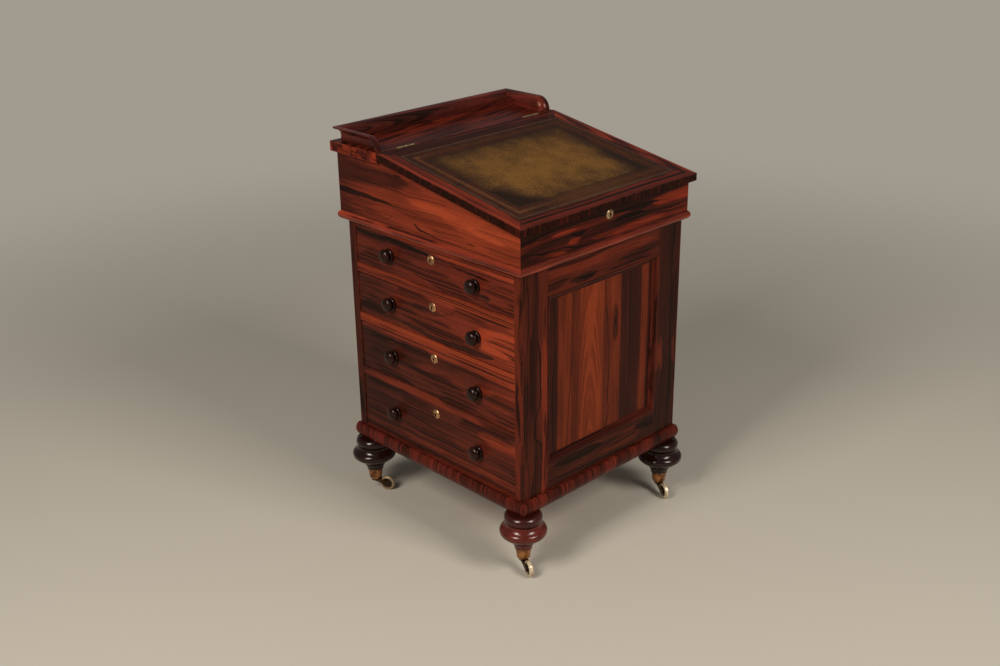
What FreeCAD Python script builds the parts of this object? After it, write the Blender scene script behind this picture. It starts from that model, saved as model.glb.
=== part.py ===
"""Davenport desk in rosewood.

A framed pedestal holds four drawers that open to one side. It stands on turned feet with
brass cup casters. A desk box overhangs it and slides forward on dovetail rails. The box has
a leathered writing slope that lifts on butt hinges, a fixed shelf and a gallery.

Millimetres. The origin is on the floor under the pedestal's centre. +Z is up, the writer
sits on the -Y side and the drawers open to -X.
"""

import FreeCAD
import Part
import math
import os

V = FreeCAD.Vector

# ---------------------------------------------------------------- floor to gallery lip
TOTAL_HEIGHT = 900.0

# ---------------------------------------------------------------- pedestal
PEDESTAL_WIDTH = 504.0
PEDESTAL_DEPTH = 544.0
FRAME_THICKNESS = 22.0
STILE_WIDTH = 75.0
FRAME_RAIL_HEIGHT = 64.0
TENON_THICKNESS = 8.0
TENON_LENGTH = 28.0
TENON_SHOULDER = 10.0
PANEL_THICKNESS = 8.0
PANEL_RECESS = 9.0
PANEL_GROOVE_DEPTH = 7.0
PANEL_PLAY = 0.4
PANEL_MOULDING_WIDTH = 15.0
PANEL_MOULDING_PROUD = 1.0
PANEL_MOULDING_LIP = 2.0
PANEL_MOULDING_BEAD = 3.0
PANEL_MOULDING_BEAD_RISE = 0.9
PANEL_MOULDING_OGEE_RISE = 1.0
END_BOARD_THICKNESS = 8.0

# ---------------------------------------------------------------- drawers in the pedestal
DRAWER_SHARES = (87.0, 101.0, 115.0, 129.0)
RAIL_HEIGHT = 20.0
TOP_RAIL_HEIGHT = 11.0
BOTTOM_RAIL_HEIGHT = 8.0
RAIL_DEPTH = 50.0
RUNNER_WIDTH = 18.0
STOP_LENGTH = 8.0
STOP_HEIGHT = 12.0
DRAWER_FRONT_THICKNESS = 18.0
DRAWER_FRONT_RECESS = 2.0
DRAWER_SIDE_THICKNESS = 9.0
DRAWER_BACK_THICKNESS = 8.0
DRAWER_BOTTOM_THICKNESS = 6.0
DRAWER_BOTTOM_LIFT = 9.0
DRAWER_GROOVE_DEPTH = 4.5
DRAWER_SIDE_DROP = 4.0
DRAWER_BACK_DROP = 10.0
DRAWER_SIDE_PLAY = 0.5
DRAWER_SEAT_GAP = 0.3
DRAWER_TOP_GAP = 0.7
DRAWER_STOP_GAP = 0.3
DOVETAIL_LAP = 5.0
DOVETAIL_PITCH = 27.0
DOVETAIL_NECK = 12.0
DOVETAIL_SLOPE = 10.0
DOVETAIL_MARGIN = 4.0

KNOB_RADIUS = 16.0
KNOB_PROJECTION = 25.0
KNOB_COLLAR_RADIUS = 15.0
KNOB_COLLAR_HEIGHT = 7.0
KNOB_COLLAR_ROUND = 2.5
KNOB_NECK_RADIUS = 10.0
KNOB_NECK_LENGTH = 2.0
KNOB_UNDERCUT = 1.2
KNOB_BRIM = 14.5
KNOB_CROWN_RADIUS = 12.5
KNOB_CROWN_DROP = 4.0
KNOB_EYE_RADIUS = 1.5
KNOB_TENON_RADIUS = 6.0
KNOB_TENON_LENGTH = 15.0
KNOB_SPACING = 272.0

ESCUTCHEON_RADIUS = 11.0
ESCUTCHEON_THICKNESS = 2.4
ESCUTCHEON_FLAT_RADIUS = 5.0
ESCUTCHEON_ROUND = 0.9
KEYHOLE_DROP = 22.0
KEYHOLE_RADIUS = 3.0
KEYHOLE_SLOT_WIDTH = 3.4
KEYHOLE_SLOT_DROP = 7.3
LOCK_WIDTH = 50.0
LOCK_HEIGHT = 36.0
LOCK_DEPTH = 8.0
SELVEDGE_DEPTH = 11.0
SELVEDGE_THICKNESS = 2.0

# ---------------------------------------------------------------- plinth, feet and casters
PLINTH_HEIGHT = 37.0
PLINTH_PROJECTION = 10.0
PLINTH_INNER_WIDTH = 50.0
PLINTH_BELLY_HEIGHT = 21.0
PLINTH_TOP_ROUND = 3.5
PLINTH_UNDERCUT = 11.0
BASE_BOARD_THICKNESS = 20.0

FOOT_INSET = 19.0
FOOT_COLLAR_RADIUS = 42.0
FOOT_COLLAR_HEIGHT = 22.0
FOOT_COLLAR_ROUND = 6.0
FOOT_COVE_HEIGHT = 12.0
FOOT_COVE_TOP_RADIUS = 38.5
FOOT_COVE_FOOT_RADIUS = 46.0
FOOT_COVE_HOLLOW = 1.6
FOOT_BULB_RADIUS = 52.0
FOOT_BULB_SHOULDER = 9.5
FOOT_BULB_BELLY = 10.5
FOOT_BULB_BELLY_RADIUS = 46.4
FOOT_BULB_TUCK = 14.0
FOOT_BULB_TUCK_ROUND = 1.2
FOOT_RING_RADIUS = 25.0
FOOT_RING_HEIGHT = 8.0
FOOT_RING_ROUND = 1.5
FOOT_NECK_HEIGHT = 9.0
FOOT_NECK_TOP_RADIUS = 22.5
FOOT_NECK_RADIUS = 20.0
FOOT_NECK_HOLLOW = 1.0
FOOT_TENON_RADIUS = 11.0
FOOT_TENON_LENGTH = 16.0
GLUE_GAP = 0.05

CUP_HEIGHT = 29.0
CUP_RIM_RADIUS = 19.5
CUP_RIM_HEIGHT = 3.0
CUP_RIM_BEAD = 1.0
CUP_HEEL_INSET = 2.0
CUP_HEEL_HEIGHT = 3.0
CUP_TOP_RADIUS = 18.3
CUP_FOOT_RADIUS = 14.3
CUP_FLOOR = 6.0
CUP_WALL = 2.0
SPIGOT_LENGTH = 17.0
SPIGOT_GAP = 0.1

CASTER_HEIGHT = 30.0
CASTER_TRAIL = 30.0
CASTER_STEM_RADIUS = 4.0
CASTER_RUNNING_GAP = 0.05
CASTER_SEAT_GAP = 0.3
CASTER_RIVET_RADIUS = 6.5
CASTER_RIVET_HEIGHT = 3.0
CASTER_RIVET_TAPER = 1.0
CASTER_DISC_RADIUS = 10.5
CASTER_DISC_HEIGHT = 3.5
CASTER_HORN_BACK = 8.0
CASTER_HORN_FRONT = 9.5
CASTER_HORN_HEEL = 2.0
CASTER_HORN_HOLLOW = 2.0
CASTER_HORN_CROWN = 2.5
CASTER_CHEEK_THICKNESS = 2.4
CASTER_EYE_RADIUS = 5.5
CASTER_EYE_UNDER_ANGLE = -111.0
CASTER_EYE_OVER_ANGLE = 57.0
WHEEL_RADIUS = 18.0
WHEEL_WIDTH = 9.0
WHEEL_SIDE_GAP = 0.4
WHEEL_RIM_GAP = 1.0
WHEEL_TREAD_ROUND = 2.0
WHEEL_HUB_RADIUS = 5.0
WHEEL_RIM_THICKNESS = 4.5
WHEEL_WEB_THICKNESS = 4.0
AXLE_RADIUS = 2.0
AXLE_HEAD_RADIUS = 3.4
AXLE_HEAD_THICKNESS = 1.2
AXLE_HEAD_TAPER = 0.6
CASTER_TURNS = {"front_left": -113.0, "front_right": -115.0,
                "back_left": -60.0, "back_right": -75.0}

# ---------------------------------------------------------------- desk box
DESK_SIDE_OVERHANG = 10.0
DESK_FRONT_OVERHANG = 7.0
DESK_BACK_OVERHANG = 14.0
DESK_HEIGHT = 177.0
DESK_BOARD_THICKNESS = 14.0
DESK_BOTTOM_THICKNESS = 12.0
DESK_MOULDING_HEIGHT = 18.5
DESK_MOULDING_PROJECTION = 5.5
SLIDE_GAP = 0.3
SLIDE_RAIL_SPACING = 300.0
SLIDE_RAIL_WIDTH = 24.0
SLIDE_RAIL_FLARE = 4.0
SLIDE_RAIL_HEIGHT = 6.0
SLIDE_RAIL_LENGTH = 290.0
SLIDE_RAIL_FRONT_INSET = 42.0
DESK_TRAVEL = 200.0

SHELF_THICKNESS = 22.0
SHELF_SIDE_OVERHANG = 10.0
SHELF_BACK_OVERHANG = 11.0
SHELF_DEPTH = 160.5

GALLERY_INSET = 18.0
GALLERY_THICKNESS = 12.0
GALLERY_HEIGHT = 31.0
GALLERY_FLARE = 12.0
GALLERY_LIP = 4.0
GALLERY_TOP_WIDTH = 5.0
GALLERY_FRONT_INSET = 7.5

# ---------------------------------------------------------------- writing slope
SLOPE_ANGLE = 9.77
SLOPE_THICKNESS = 16.0
SLOPE_SIDE_OVERHANG = 12.0
SLOPE_FRONT_OVERHANG = 12.0
SLOPE_REST_GAP = 0.3
SEAM_GAP = 0.3
LEATHER_THICKNESS = 1.2
LEATHER_SINK = 0.2
LEATHER_SIDE_MARGIN = 31.0
LEATHER_END_MARGIN = 34.0

HINGE_LENGTH = 50.0
HINGE_SPACING = 384.0
HINGE_KNUCKLES = 5
HINGE_BARREL_RADIUS = 2.6
HINGE_PIN_RADIUS = 1.2
HINGE_LEAF_HEIGHT = 13.0
HINGE_LEAF_THICKNESS = 1.5
HINGE_RUNNING_GAP = 0.05
HINGE_CLEARANCE = 0.3

DESK_LOCK_WIDTH = 60.0
DESK_LOCK_HEIGHT = 34.0
DESK_LOCK_TOP_GAP = 3.0
DESK_KEYHOLE_DROP = 18.0
CATCH_PLATE_LENGTH = 60.0
CATCH_PLATE_WIDTH = 11.0
CATCH_PLATE_THICKNESS = 1.5

# ---------------------------------------------------------------- fitment inside the desk
FITMENT_DEPTH = 122.0
FITMENT_BOARD = 6.0
FITMENT_CENTRE_WIDTH = 262.0
PIGEONHOLE_COUNT = 4
INNER_DRAWER_OPENING = 60.0
INNER_DRAWER_FRONT = 7.0
INNER_DRAWER_SIDE = 4.0
INNER_DRAWER_BACK = 4.0
INNER_DRAWER_BOTTOM = 3.0
INNER_DRAWER_LIFT = 3.0
INNER_DRAWER_GROOVE = 2.0
INNER_DRAWER_BACK_GAP = 2.0
INNER_DRAWER_RECESS = 1.0
INNER_DOVETAIL_LAP = 2.5
INNER_DOVETAIL_NECK = 6.0
INNER_DOVETAIL_PITCH = 18.0
INNER_KNOB_SCALE = 0.38

# ---------------------------------------------------------------- how far a cut runs past its piece
OVERCUT = 1.0

# ---------------------------------------------------------------- places worked out from these
HALF_WIDTH = PEDESTAL_WIDTH / 2
HALF_DEPTH = PEDESTAL_DEPTH / 2
FOOT_HEIGHT = (FOOT_COLLAR_HEIGHT + FOOT_COVE_HEIGHT + FOOT_BULB_SHOULDER + FOOT_BULB_BELLY
               + FOOT_BULB_TUCK + FOOT_RING_HEIGHT + FOOT_NECK_HEIGHT)
CUP_TOP_Z = CASTER_HEIGHT + CUP_HEIGHT
PLINTH_Z = CUP_TOP_Z + FOOT_HEIGHT
PEDESTAL_Z = PLINTH_Z + PLINTH_HEIGHT
SHELF_TOP_Z = TOTAL_HEIGHT - GALLERY_HEIGHT
PEDESTAL_TOP_Z = SHELF_TOP_Z - DESK_HEIGHT
PEDESTAL_HEIGHT = PEDESTAL_TOP_Z - PEDESTAL_Z
DRAWER_SPACE = (PEDESTAL_HEIGHT - BOTTOM_RAIL_HEIGHT - TOP_RAIL_HEIGHT
                - len(DRAWER_SHARES[1:]) * RAIL_HEIGHT)
DRAWER_OPENINGS = [DRAWER_SPACE * share / sum(DRAWER_SHARES) for share in DRAWER_SHARES]
INNER_Y = HALF_DEPTH - FRAME_THICKNESS
PANEL_HALF_WIDTH = HALF_WIDTH - STILE_WIDTH
DUMMY_BACK_X = HALF_WIDTH - DRAWER_FRONT_RECESS - DRAWER_FRONT_THICKNESS
END_BOARD_X = DUMMY_BACK_X - END_BOARD_THICKNESS

DRAWER_WIDTH = 2 * (INNER_Y - DRAWER_SIDE_PLAY)
DRAWER_FACE_X = -HALF_WIDTH + DRAWER_FRONT_RECESS
DRAWER_LENGTH = END_BOARD_X - STOP_LENGTH - DRAWER_STOP_GAP - DRAWER_FACE_X

FOOT_X = HALF_WIDTH - FOOT_INSET
FOOT_Y = HALF_DEPTH - FOOT_INSET
FEET = {"front_left": (-FOOT_X, -FOOT_Y), "front_right": (FOOT_X, -FOOT_Y),
        "back_left": (-FOOT_X, FOOT_Y), "back_right": (FOOT_X, FOOT_Y)}

DESK_Z = PEDESTAL_TOP_Z + SLIDE_GAP
SHELF_Z = SHELF_TOP_Z - SHELF_THICKNESS
DESK_HALF_WIDTH = HALF_WIDTH + DESK_SIDE_OVERHANG
DESK_FRONT_Y = -HALF_DEPTH - DESK_FRONT_OVERHANG
DESK_BACK_Y = HALF_DEPTH + DESK_BACK_OVERHANG
DESK_INNER_X = DESK_HALF_WIDTH - DESK_BOARD_THICKNESS
DESK_FLOOR_Z = DESK_Z + DESK_BOTTOM_THICKNESS
SHELF_BACK_Y = DESK_BACK_Y + SHELF_BACK_OVERHANG
SEAM_Y = SHELF_BACK_Y - SHELF_DEPTH
SHELF_HALF_WIDTH = DESK_HALF_WIDTH + SHELF_SIDE_OVERHANG

SLOPE = math.radians(SLOPE_ANGLE)
SLOPE_DROP = SLOPE_THICKNESS / math.cos(SLOPE)
SLOPE_FRONT_Y = DESK_FRONT_Y - SLOPE_FRONT_OVERHANG
SLOPE_BACK_Y = SEAM_Y - SEAM_GAP / 2
SLOPE_HALF_WIDTH = DESK_HALF_WIDTH + SLOPE_SIDE_OVERHANG
SLOPE_LENGTH = (SEAM_Y - SLOPE_FRONT_Y) / math.cos(SLOPE)

SLIDE_RAIL_Y = -HALF_DEPTH + SLIDE_RAIL_FRONT_INSET
FITMENT_FRONT_Y = DESK_BACK_Y - DESK_BOARD_THICKNESS - FITMENT_DEPTH


# ---------------------------------------------------------------- shape helpers
def box(x0, x1, y0, y1, z0, z1):
    """A board between two opposite corners."""
    return Part.makeBox(x1 - x0, y1 - y0, z1 - z0, V(x0, y0, z0))


def bow(start, end, rise):
    """An arc step from start to end, bowed by rise to the left of its chord."""
    along = (end[0] - start[0], end[1] - start[1])
    length = math.hypot(*along)
    middle = ((start[0] + end[0]) / 2, (start[1] + end[1]) / 2)
    through = (middle[0] - rise * along[1] / length, middle[1] + rise * along[0] / length)
    return through, end


def belly(widest, other, leaving=False):
    """An arc step between a form's widest point, where it stands upright, and another point.

    It runs from the other point to the widest one, or back if leaving.
    """
    across, rise = widest[0] - other[0], other[1] - widest[1]
    radius = (across ** 2 + rise ** 2) / (2 * across)
    half = math.atan2(rise, radius - across) / 2
    through = (widest[0] - radius * (1 - math.cos(half)), widest[1] + radius * math.sin(half))
    return through, other if leaving else widest


def dome(rim, top, eye):
    """An arc step from a rim point up to a flat eye round the lathe axis, centred on the axis."""
    rise = top - rim[1]
    radius = (rim[0] ** 2 + rise ** 2) / (2 * rise)
    places = []
    for angle in ((math.asin(rim[0] / radius) + math.asin(eye / radius)) / 2,
                  math.asin(eye / radius)):
        places.append((radius * math.sin(angle), top - radius * (1 - math.cos(angle))))
    return places[0], places[1]


def outline(steps, place):
    """A closed face. Each step is a point (a, b), or an arc as (through point, end point)."""
    edges = []
    here = steps[0]
    for step in steps[1:] + steps[:1]:
        if isinstance(step[0], tuple):
            through, there = step
            edges.append(Part.Arc(place(*here), place(*through), place(*there)).toShape())
        else:
            there = step
            if math.dist(here, there) > 1e-6:
                edges.append(Part.makeLine(place(*here), place(*there)))
        here = there
    return Part.Face(Part.Wire(edges))


def prism_along_x(steps, x0, x1):
    """An outline in (y, z), carried from x0 to x1."""
    return outline(steps, lambda y, z: V(x0, y, z)).extrude(V(x1 - x0, 0, 0))


def prism_along_y(steps, y0, y1):
    """An outline in (x, z), carried from y0 to y1."""
    return outline(steps, lambda x, z: V(x, y0, z)).extrude(V(0, y1 - y0, 0))


def prism_along_z(steps, z0, z1):
    """An outline in (x, y), carried from z0 to z1."""
    return outline(steps, lambda x, y: V(x, y, z0)).extrude(V(0, 0, z1 - z0))


def turned(steps):
    """A lathe form about the Z axis from a half outline in (radius, z)."""
    return outline(steps, lambda r, z: V(r, 0, z)).revolve(V(0, 0, 0), V(0, 0, 1), 360)


def moved(shape, x=0.0, y=0.0, z=0.0):
    """A copy of the shape, carried by an offset."""
    copy = shape.copy()
    copy.translate(V(x, y, z))
    return copy


def spun(shape, axis, degrees, centre=(0, 0, 0)):
    """A copy of the shape, turned about an axis through a point."""
    copy = shape.copy()
    copy.rotate(V(*centre), V(*axis), degrees)
    return copy


def flipped(shape):
    """The shape's reflection in the desk's middle plane, left for right."""
    return shape.mirror(V(0, 0, 0), V(1, 0, 0))


def mitred_ring(section, half_x, half_y, inner, outer):
    """Four strips of one moulding round a rectangle, mitred where they meet.

    The section is an outline in (distance outward from the rectangle, height); inner and
    outer bound its first coordinate. The strips come in the order +Y, -X, -Y, +X.
    """
    heights = [point[1] for step in section
               for point in (step if isinstance(step[0], tuple) else (step,))]
    low, high = min(heights) - OVERCUT, max(heights) + OVERCUT
    near, far = inner - OVERCUT, outer + OVERCUT
    strips = []
    for turn, along, across in ((0, half_x, half_y), (90, half_y, half_x),
                                (180, half_x, half_y), (270, half_y, half_x)):
        reach = along + far + OVERCUT
        bar = outline(section, lambda a, b: V(-reach, across + a, b)).extrude(V(2 * reach, 0, 0))
        wedge = prism_along_z([(-along - far, across + far), (-along - near, across + near),
                               (along + near, across + near), (along + far, across + far)],
                              low, high)
        strips.append(spun(bar.common(wedge), (0, 0, 1), turn))
    return strips


def keyhole(x, z, y0, y1):
    """The round and slot of a keyhole, cut along Y."""
    round_part = Part.makeCylinder(KEYHOLE_RADIUS, y1 - y0, V(x, y0, z), V(0, 1, 0))
    slot = box(x - KEYHOLE_SLOT_WIDTH / 2, x + KEYHOLE_SLOT_WIDTH / 2, y0, y1,
               z - KEYHOLE_SLOT_DROP, z)
    return round_part.fuse(slot)


def escutcheon(x, z, y):
    """A round keyhole plate with a full edge, lying on a face at y that looks to -Y."""
    rim, flat = (ESCUTCHEON_RADIUS, 0), (ESCUTCHEON_FLAT_RADIUS, ESCUTCHEON_THICKNESS)
    plate = turned([(0, 0), rim, bow(rim, flat, -ESCUTCHEON_ROUND), (0, ESCUTCHEON_THICKNESS)])
    plate = moved(spun(plate, (1, 0, 0), 90), x, y, z)
    return plate.cut(keyhole(x, z, y - ESCUTCHEON_THICKNESS - OVERCUT, y + OVERCUT))


def knob(x, z, y, scale=1.0):
    """A turned knob over a full collar, on a face at y that looks to -Y, its tenon behind."""
    flank = KNOB_COLLAR_RADIUS - KNOB_COLLAR_ROUND
    collar_foot, collar_top = (flank, 0), (flank, KNOB_COLLAR_HEIGHT)
    neck_top = (KNOB_NECK_RADIUS, KNOB_COLLAR_HEIGHT + KNOB_NECK_LENGTH)
    brim = (KNOB_RADIUS, KNOB_BRIM)
    crown = (KNOB_CROWN_RADIUS, KNOB_PROJECTION - KNOB_CROWN_DROP)
    cap = dome(crown, KNOB_PROJECTION, KNOB_EYE_RADIUS)
    form = turned([(0, -KNOB_TENON_LENGTH), (KNOB_TENON_RADIUS, -KNOB_TENON_LENGTH),
                   (KNOB_TENON_RADIUS, 0), collar_foot,
                   bow(collar_foot, collar_top, -KNOB_COLLAR_ROUND),
                   (KNOB_NECK_RADIUS, KNOB_COLLAR_HEIGHT), neck_top,
                   bow(neck_top, brim, -KNOB_UNDERCUT), belly(brim, crown, leaving=True),
                   cap, (0, cap[1][1])])
    if scale != 1.0:
        form = form.scaled(scale)
    return moved(spun(form, (1, 0, 0), 90), x, y, z)


def knob_hole(x, z, y, scale=1.0):
    """The hole for a knob's tenon, bored from a face at y that looks to -Y."""
    radius = KNOB_TENON_RADIUS * scale + GLUE_GAP
    depth = KNOB_TENON_LENGTH * scale + GLUE_GAP
    return Part.makeCylinder(radius, depth, V(x, y, z), V(0, 1, 0))


# ---------------------------------------------------------------- framed ends of the pedestal
def framed_end():
    """Frame, panel and panel moulding, lying flat: x across, y up, z out of the pedestal."""
    height = PEDESTAL_HEIGHT
    inner = PANEL_HALF_WIDTH
    low, high = FRAME_RAIL_HEIGHT, height - FRAME_RAIL_HEIGHT
    panel_face = FRAME_THICKNESS - PANEL_RECESS
    panel_back = panel_face - PANEL_THICKNESS
    tenon_z = (FRAME_THICKNESS - TENON_THICKNESS) / 2
    groove = PANEL_GROOVE_DEPTH
    groove_ring = box(-inner - groove, inner + groove, low - groove, high + groove,
                      panel_back, panel_face)
    rails = []
    for y0, y1 in ((0, low), (high, height)):
        tenons = box(-inner - TENON_LENGTH, inner + TENON_LENGTH, y0 + TENON_SHOULDER,
                     y1 - TENON_SHOULDER, tenon_z, tenon_z + TENON_THICKNESS)
        rails.append(box(-inner, inner, y0, y1, 0, FRAME_THICKNESS).cut(groove_ring).fuse(tenons))
    stile = box(-HALF_WIDTH, -inner, 0, height, 0, FRAME_THICKNESS)
    for part in rails:
        stile = stile.cut(part)
    stile = stile.cut(groove_ring)
    reach = groove - PANEL_PLAY
    panel = box(-inner - reach, inner + reach, low - reach, high + reach, panel_back, panel_face)
    width, top = PANEL_MOULDING_WIDTH, PANEL_RECESS + PANEL_MOULDING_PROUD
    lip = (-PANEL_MOULDING_LIP, top)
    middle = (-width / 2, (top + PANEL_MOULDING_PROUD) / 2)
    bead = (PANEL_MOULDING_BEAD - width, PANEL_MOULDING_BEAD / 2)
    section = [(0, 0), (0, top), lip, bow(lip, middle, -PANEL_MOULDING_OGEE_RISE),
               bow(middle, bead, PANEL_MOULDING_OGEE_RISE),
               bow(bead, (-width, 0), -PANEL_MOULDING_BEAD_RISE)]
    ring = mitred_ring(section, inner, (high - low) / 2, -width, 0)
    moulding = [moved(strip, 0, (low + high) / 2, panel_face) for strip in ring]
    return [stile, flipped(stile)] + rails, [panel], moulding


def stand_up(shape, at_back):
    """Raise a flat frame piece onto the plinth at the front, or turned round at the back."""
    raised = moved(spun(shape, (1, 0, 0), 90), 0, -INNER_Y, PEDESTAL_Z)
    return spun(raised, (0, 0, 1), 180) if at_back else raised


# ---------------------------------------------------------------- pedestal carcase
def drawer_floors():
    """The height of each drawer opening's floor, top drawer first."""
    floors = []
    top = PEDESTAL_TOP_Z - TOP_RAIL_HEIGHT
    for opening in DRAWER_OPENINGS:
        floors.append(top - opening)
        top -= opening + RAIL_HEIGHT
    return floors


def rail_levels():
    """Bottom and top of each rail: above the top drawer, between drawers, under the last."""
    floors = drawer_floors()
    levels = [(PEDESTAL_TOP_Z - TOP_RAIL_HEIGHT, PEDESTAL_TOP_Z)]
    levels += [(floor - RAIL_HEIGHT, floor) for floor in floors[:-1]]
    return levels + [(PEDESTAL_Z, floors[-1])]


def drawer_rails():
    """Rails across the drawer side, level with the frames' edges."""
    return [box(-HALF_WIDTH, -HALF_WIDTH + RAIL_DEPTH, -INNER_Y, INNER_Y, low, high)
            for low, high in rail_levels()]


def dummy_rails():
    """Rails between the dummy fronts of the other side."""
    return [box(DUMMY_BACK_X, HALF_WIDTH, -INNER_Y, INNER_Y, low, high)
            for low, high in rail_levels()]


def runners():
    """Bearers under both edges of every drawer, each with a stop block at its far end."""
    parts = []
    for low, high in rail_levels()[1:]:
        for side in (-1, 1):
            edges = sorted((side * INNER_Y, side * (INNER_Y - RUNNER_WIDTH)))
            parts.append(box(RAIL_DEPTH - HALF_WIDTH, END_BOARD_X, *edges, low, high))
            parts.append(box(END_BOARD_X - STOP_LENGTH, END_BOARD_X, *edges,
                             high, high + STOP_HEIGHT))
    return parts


def dummy_front(opening, floor):
    """A false drawer front with the holes of its knobs."""
    front = box(DUMMY_BACK_X, HALF_WIDTH - DRAWER_FRONT_RECESS, -INNER_Y, INNER_Y,
                floor, floor + opening)
    for side in (-1, 1):
        front = front.cut(to_dummy_side(knob_hole(side * KNOB_SPACING / 2, opening / 2, 0), floor))
    depth = DRAWER_FRONT_THICKNESS - LOCK_DEPTH
    return front.cut(to_dummy_side(keyhole(0, opening - KEYHOLE_DROP, 0, depth), floor))


def to_drawer_side(shape, floor):
    """Carry a piece from its own frame, front face on y = 0, to a drawer opening."""
    return moved(spun(shape, (0, 0, 1), -90), DRAWER_FACE_X, 0, floor)


def to_dummy_side(shape, floor):
    """Carry a piece from its own frame, front face on y = 0, to a dummy front."""
    return moved(spun(shape, (0, 0, 1), 90), -DRAWER_FACE_X, 0, floor)


def plinth():
    """Mitred plinth pieces with a full belly, rounded under, bored for the feet."""
    widest = (PLINTH_PROJECTION, PLINTH_BELLY_HEIGHT)
    root = (PLINTH_PROJECTION - PLINTH_UNDERCUT, 0)
    crown = (PLINTH_PROJECTION - PLINTH_TOP_ROUND, PLINTH_HEIGHT)
    section = [(-PLINTH_INNER_WIDTH, 0), root, belly(widest, root), belly(widest, crown, True),
               (-PLINTH_INNER_WIDTH, PLINTH_HEIGHT)]
    ring = mitred_ring(section, HALF_WIDTH, HALF_DEPTH, -PLINTH_INNER_WIDTH, PLINTH_PROJECTION)
    strips = []
    for strip in ring:
        strip = moved(strip, 0, 0, PLINTH_Z)
        for x, y in FEET.values():
            strip = strip.cut(Part.makeCylinder(FOOT_TENON_RADIUS + GLUE_GAP,
                                                FOOT_TENON_LENGTH + GLUE_GAP, V(x, y, PLINTH_Z)))
        strips.append(strip)
    return strips


def slide_rail_section(grow):
    """A dovetail rail's outline in (x, z), grown by a clearance on its flanks and top."""
    half_foot = SLIDE_RAIL_WIDTH / 2 + grow
    half_head = SLIDE_RAIL_WIDTH / 2 + SLIDE_RAIL_FLARE + grow
    foot_z, head_z = PEDESTAL_TOP_Z, PEDESTAL_TOP_Z + SLIDE_RAIL_HEIGHT + grow
    centre = -SLIDE_RAIL_SPACING / 2
    return [(centre - half_foot, foot_z), (centre + half_foot, foot_z),
            (centre + half_head, head_z), (centre - half_head, head_z)]


# ---------------------------------------------------------------- drawers
class DrawerSizes:
    """Board sizes of one dovetailed drawer."""

    def __init__(self, width, height, length, inner=False):
        self.width = width
        self.height = height
        self.length = length
        self.front = INNER_DRAWER_FRONT if inner else DRAWER_FRONT_THICKNESS
        self.side = INNER_DRAWER_SIDE if inner else DRAWER_SIDE_THICKNESS
        self.back = INNER_DRAWER_BACK if inner else DRAWER_BACK_THICKNESS
        self.bottom = INNER_DRAWER_BOTTOM if inner else DRAWER_BOTTOM_THICKNESS
        self.lift = INNER_DRAWER_LIFT if inner else DRAWER_BOTTOM_LIFT
        self.groove = INNER_DRAWER_GROOVE if inner else DRAWER_GROOVE_DEPTH
        self.lap = INNER_DOVETAIL_LAP if inner else DOVETAIL_LAP
        self.neck = INNER_DOVETAIL_NECK if inner else DOVETAIL_NECK
        self.pitch = INNER_DOVETAIL_PITCH if inner else DOVETAIL_PITCH


def tails(sizes, neck_y, head_y, low, high):
    """Dovetail prisms for both sides, narrow at neck_y and wide at head_y."""
    count = max(2, int((high - low) / sizes.pitch))
    step = (high - low) / count
    neck = sizes.neck / 2
    head = neck + abs(head_y - neck_y) * math.tan(math.radians(DOVETAIL_SLOPE))
    prisms = []
    for index in range(count):
        z = low + (index + 0.5) * step
        shape = [(neck_y, z - neck), (neck_y, z + neck), (head_y, z + head), (head_y, z - head)]
        for x0 in (-sizes.width / 2, sizes.width / 2 - sizes.side):
            prisms.append(prism_along_x(shape, x0, x0 + sizes.side))
    return Part.makeCompound(prisms)


def dovetailed_box(sizes):
    """A drawer's front board and its two sides, back and bottom, front face on y = 0."""
    half = sizes.width / 2
    side_top = sizes.height - DRAWER_SIDE_DROP
    back_top = sizes.height - DRAWER_BACK_DROP
    floor_top = sizes.lift + sizes.bottom
    back_y = sizes.length - sizes.back
    margin = DOVETAIL_MARGIN
    bottom = box(-half + sizes.side - sizes.groove, half - sizes.side + sizes.groove,
                 sizes.front - sizes.groove, sizes.length, sizes.lift, floor_top)
    front = box(-half, half, 0, sizes.front, 0, sizes.height)
    front = front.cut(tails(sizes, sizes.front, sizes.lap, margin, side_top - margin))
    front = front.cut(bottom)
    back = box(-half, half, back_y, sizes.length, floor_top, back_top)
    back = back.cut(tails(sizes, back_y, sizes.length, floor_top + margin, back_top - margin))
    left = box(-half, -half + sizes.side, sizes.lap, sizes.length, 0, side_top)
    left = left.cut(front).cut(back).cut(bottom)
    left = max(left.Solids, key=lambda solid: solid.Volume)
    return front, [left, flipped(left), back, bottom]


def drawer_lock(height):
    """A lock let into the back and top edge of a drawer front, flush with both."""
    half = LOCK_WIDTH / 2
    thickness = DRAWER_FRONT_THICKNESS
    case = box(-half, half, thickness - LOCK_DEPTH, thickness, height - LOCK_HEIGHT, height)
    selvedge = box(-half, half, thickness - SELVEDGE_DEPTH, thickness,
                   height - SELVEDGE_THICKNESS, height)
    return case.fuse(selvedge).removeSplitter()


def pedestal_drawer(opening):
    """One drawer of the pedestal in its own frame: front, box, knobs and lock set."""
    height = opening - DRAWER_SEAT_GAP - DRAWER_TOP_GAP
    front, body = dovetailed_box(DrawerSizes(DRAWER_WIDTH, height, DRAWER_LENGTH))
    lock = drawer_lock(height)
    keyhole_z = height - KEYHOLE_DROP
    front = front.cut(lock).cut(keyhole(0, keyhole_z, 0, DRAWER_FRONT_THICKNESS - LOCK_DEPTH))
    knobs = []
    for side in (-1, 1):
        x = side * KNOB_SPACING / 2
        front = front.cut(knob_hole(x, height / 2, 0))
        knobs.append(knob(x, height / 2, 0))
    return {"front": [front], "box": body, "knobs": knobs,
            "lockset": [escutcheon(0, keyhole_z, 0), lock]}


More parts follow.
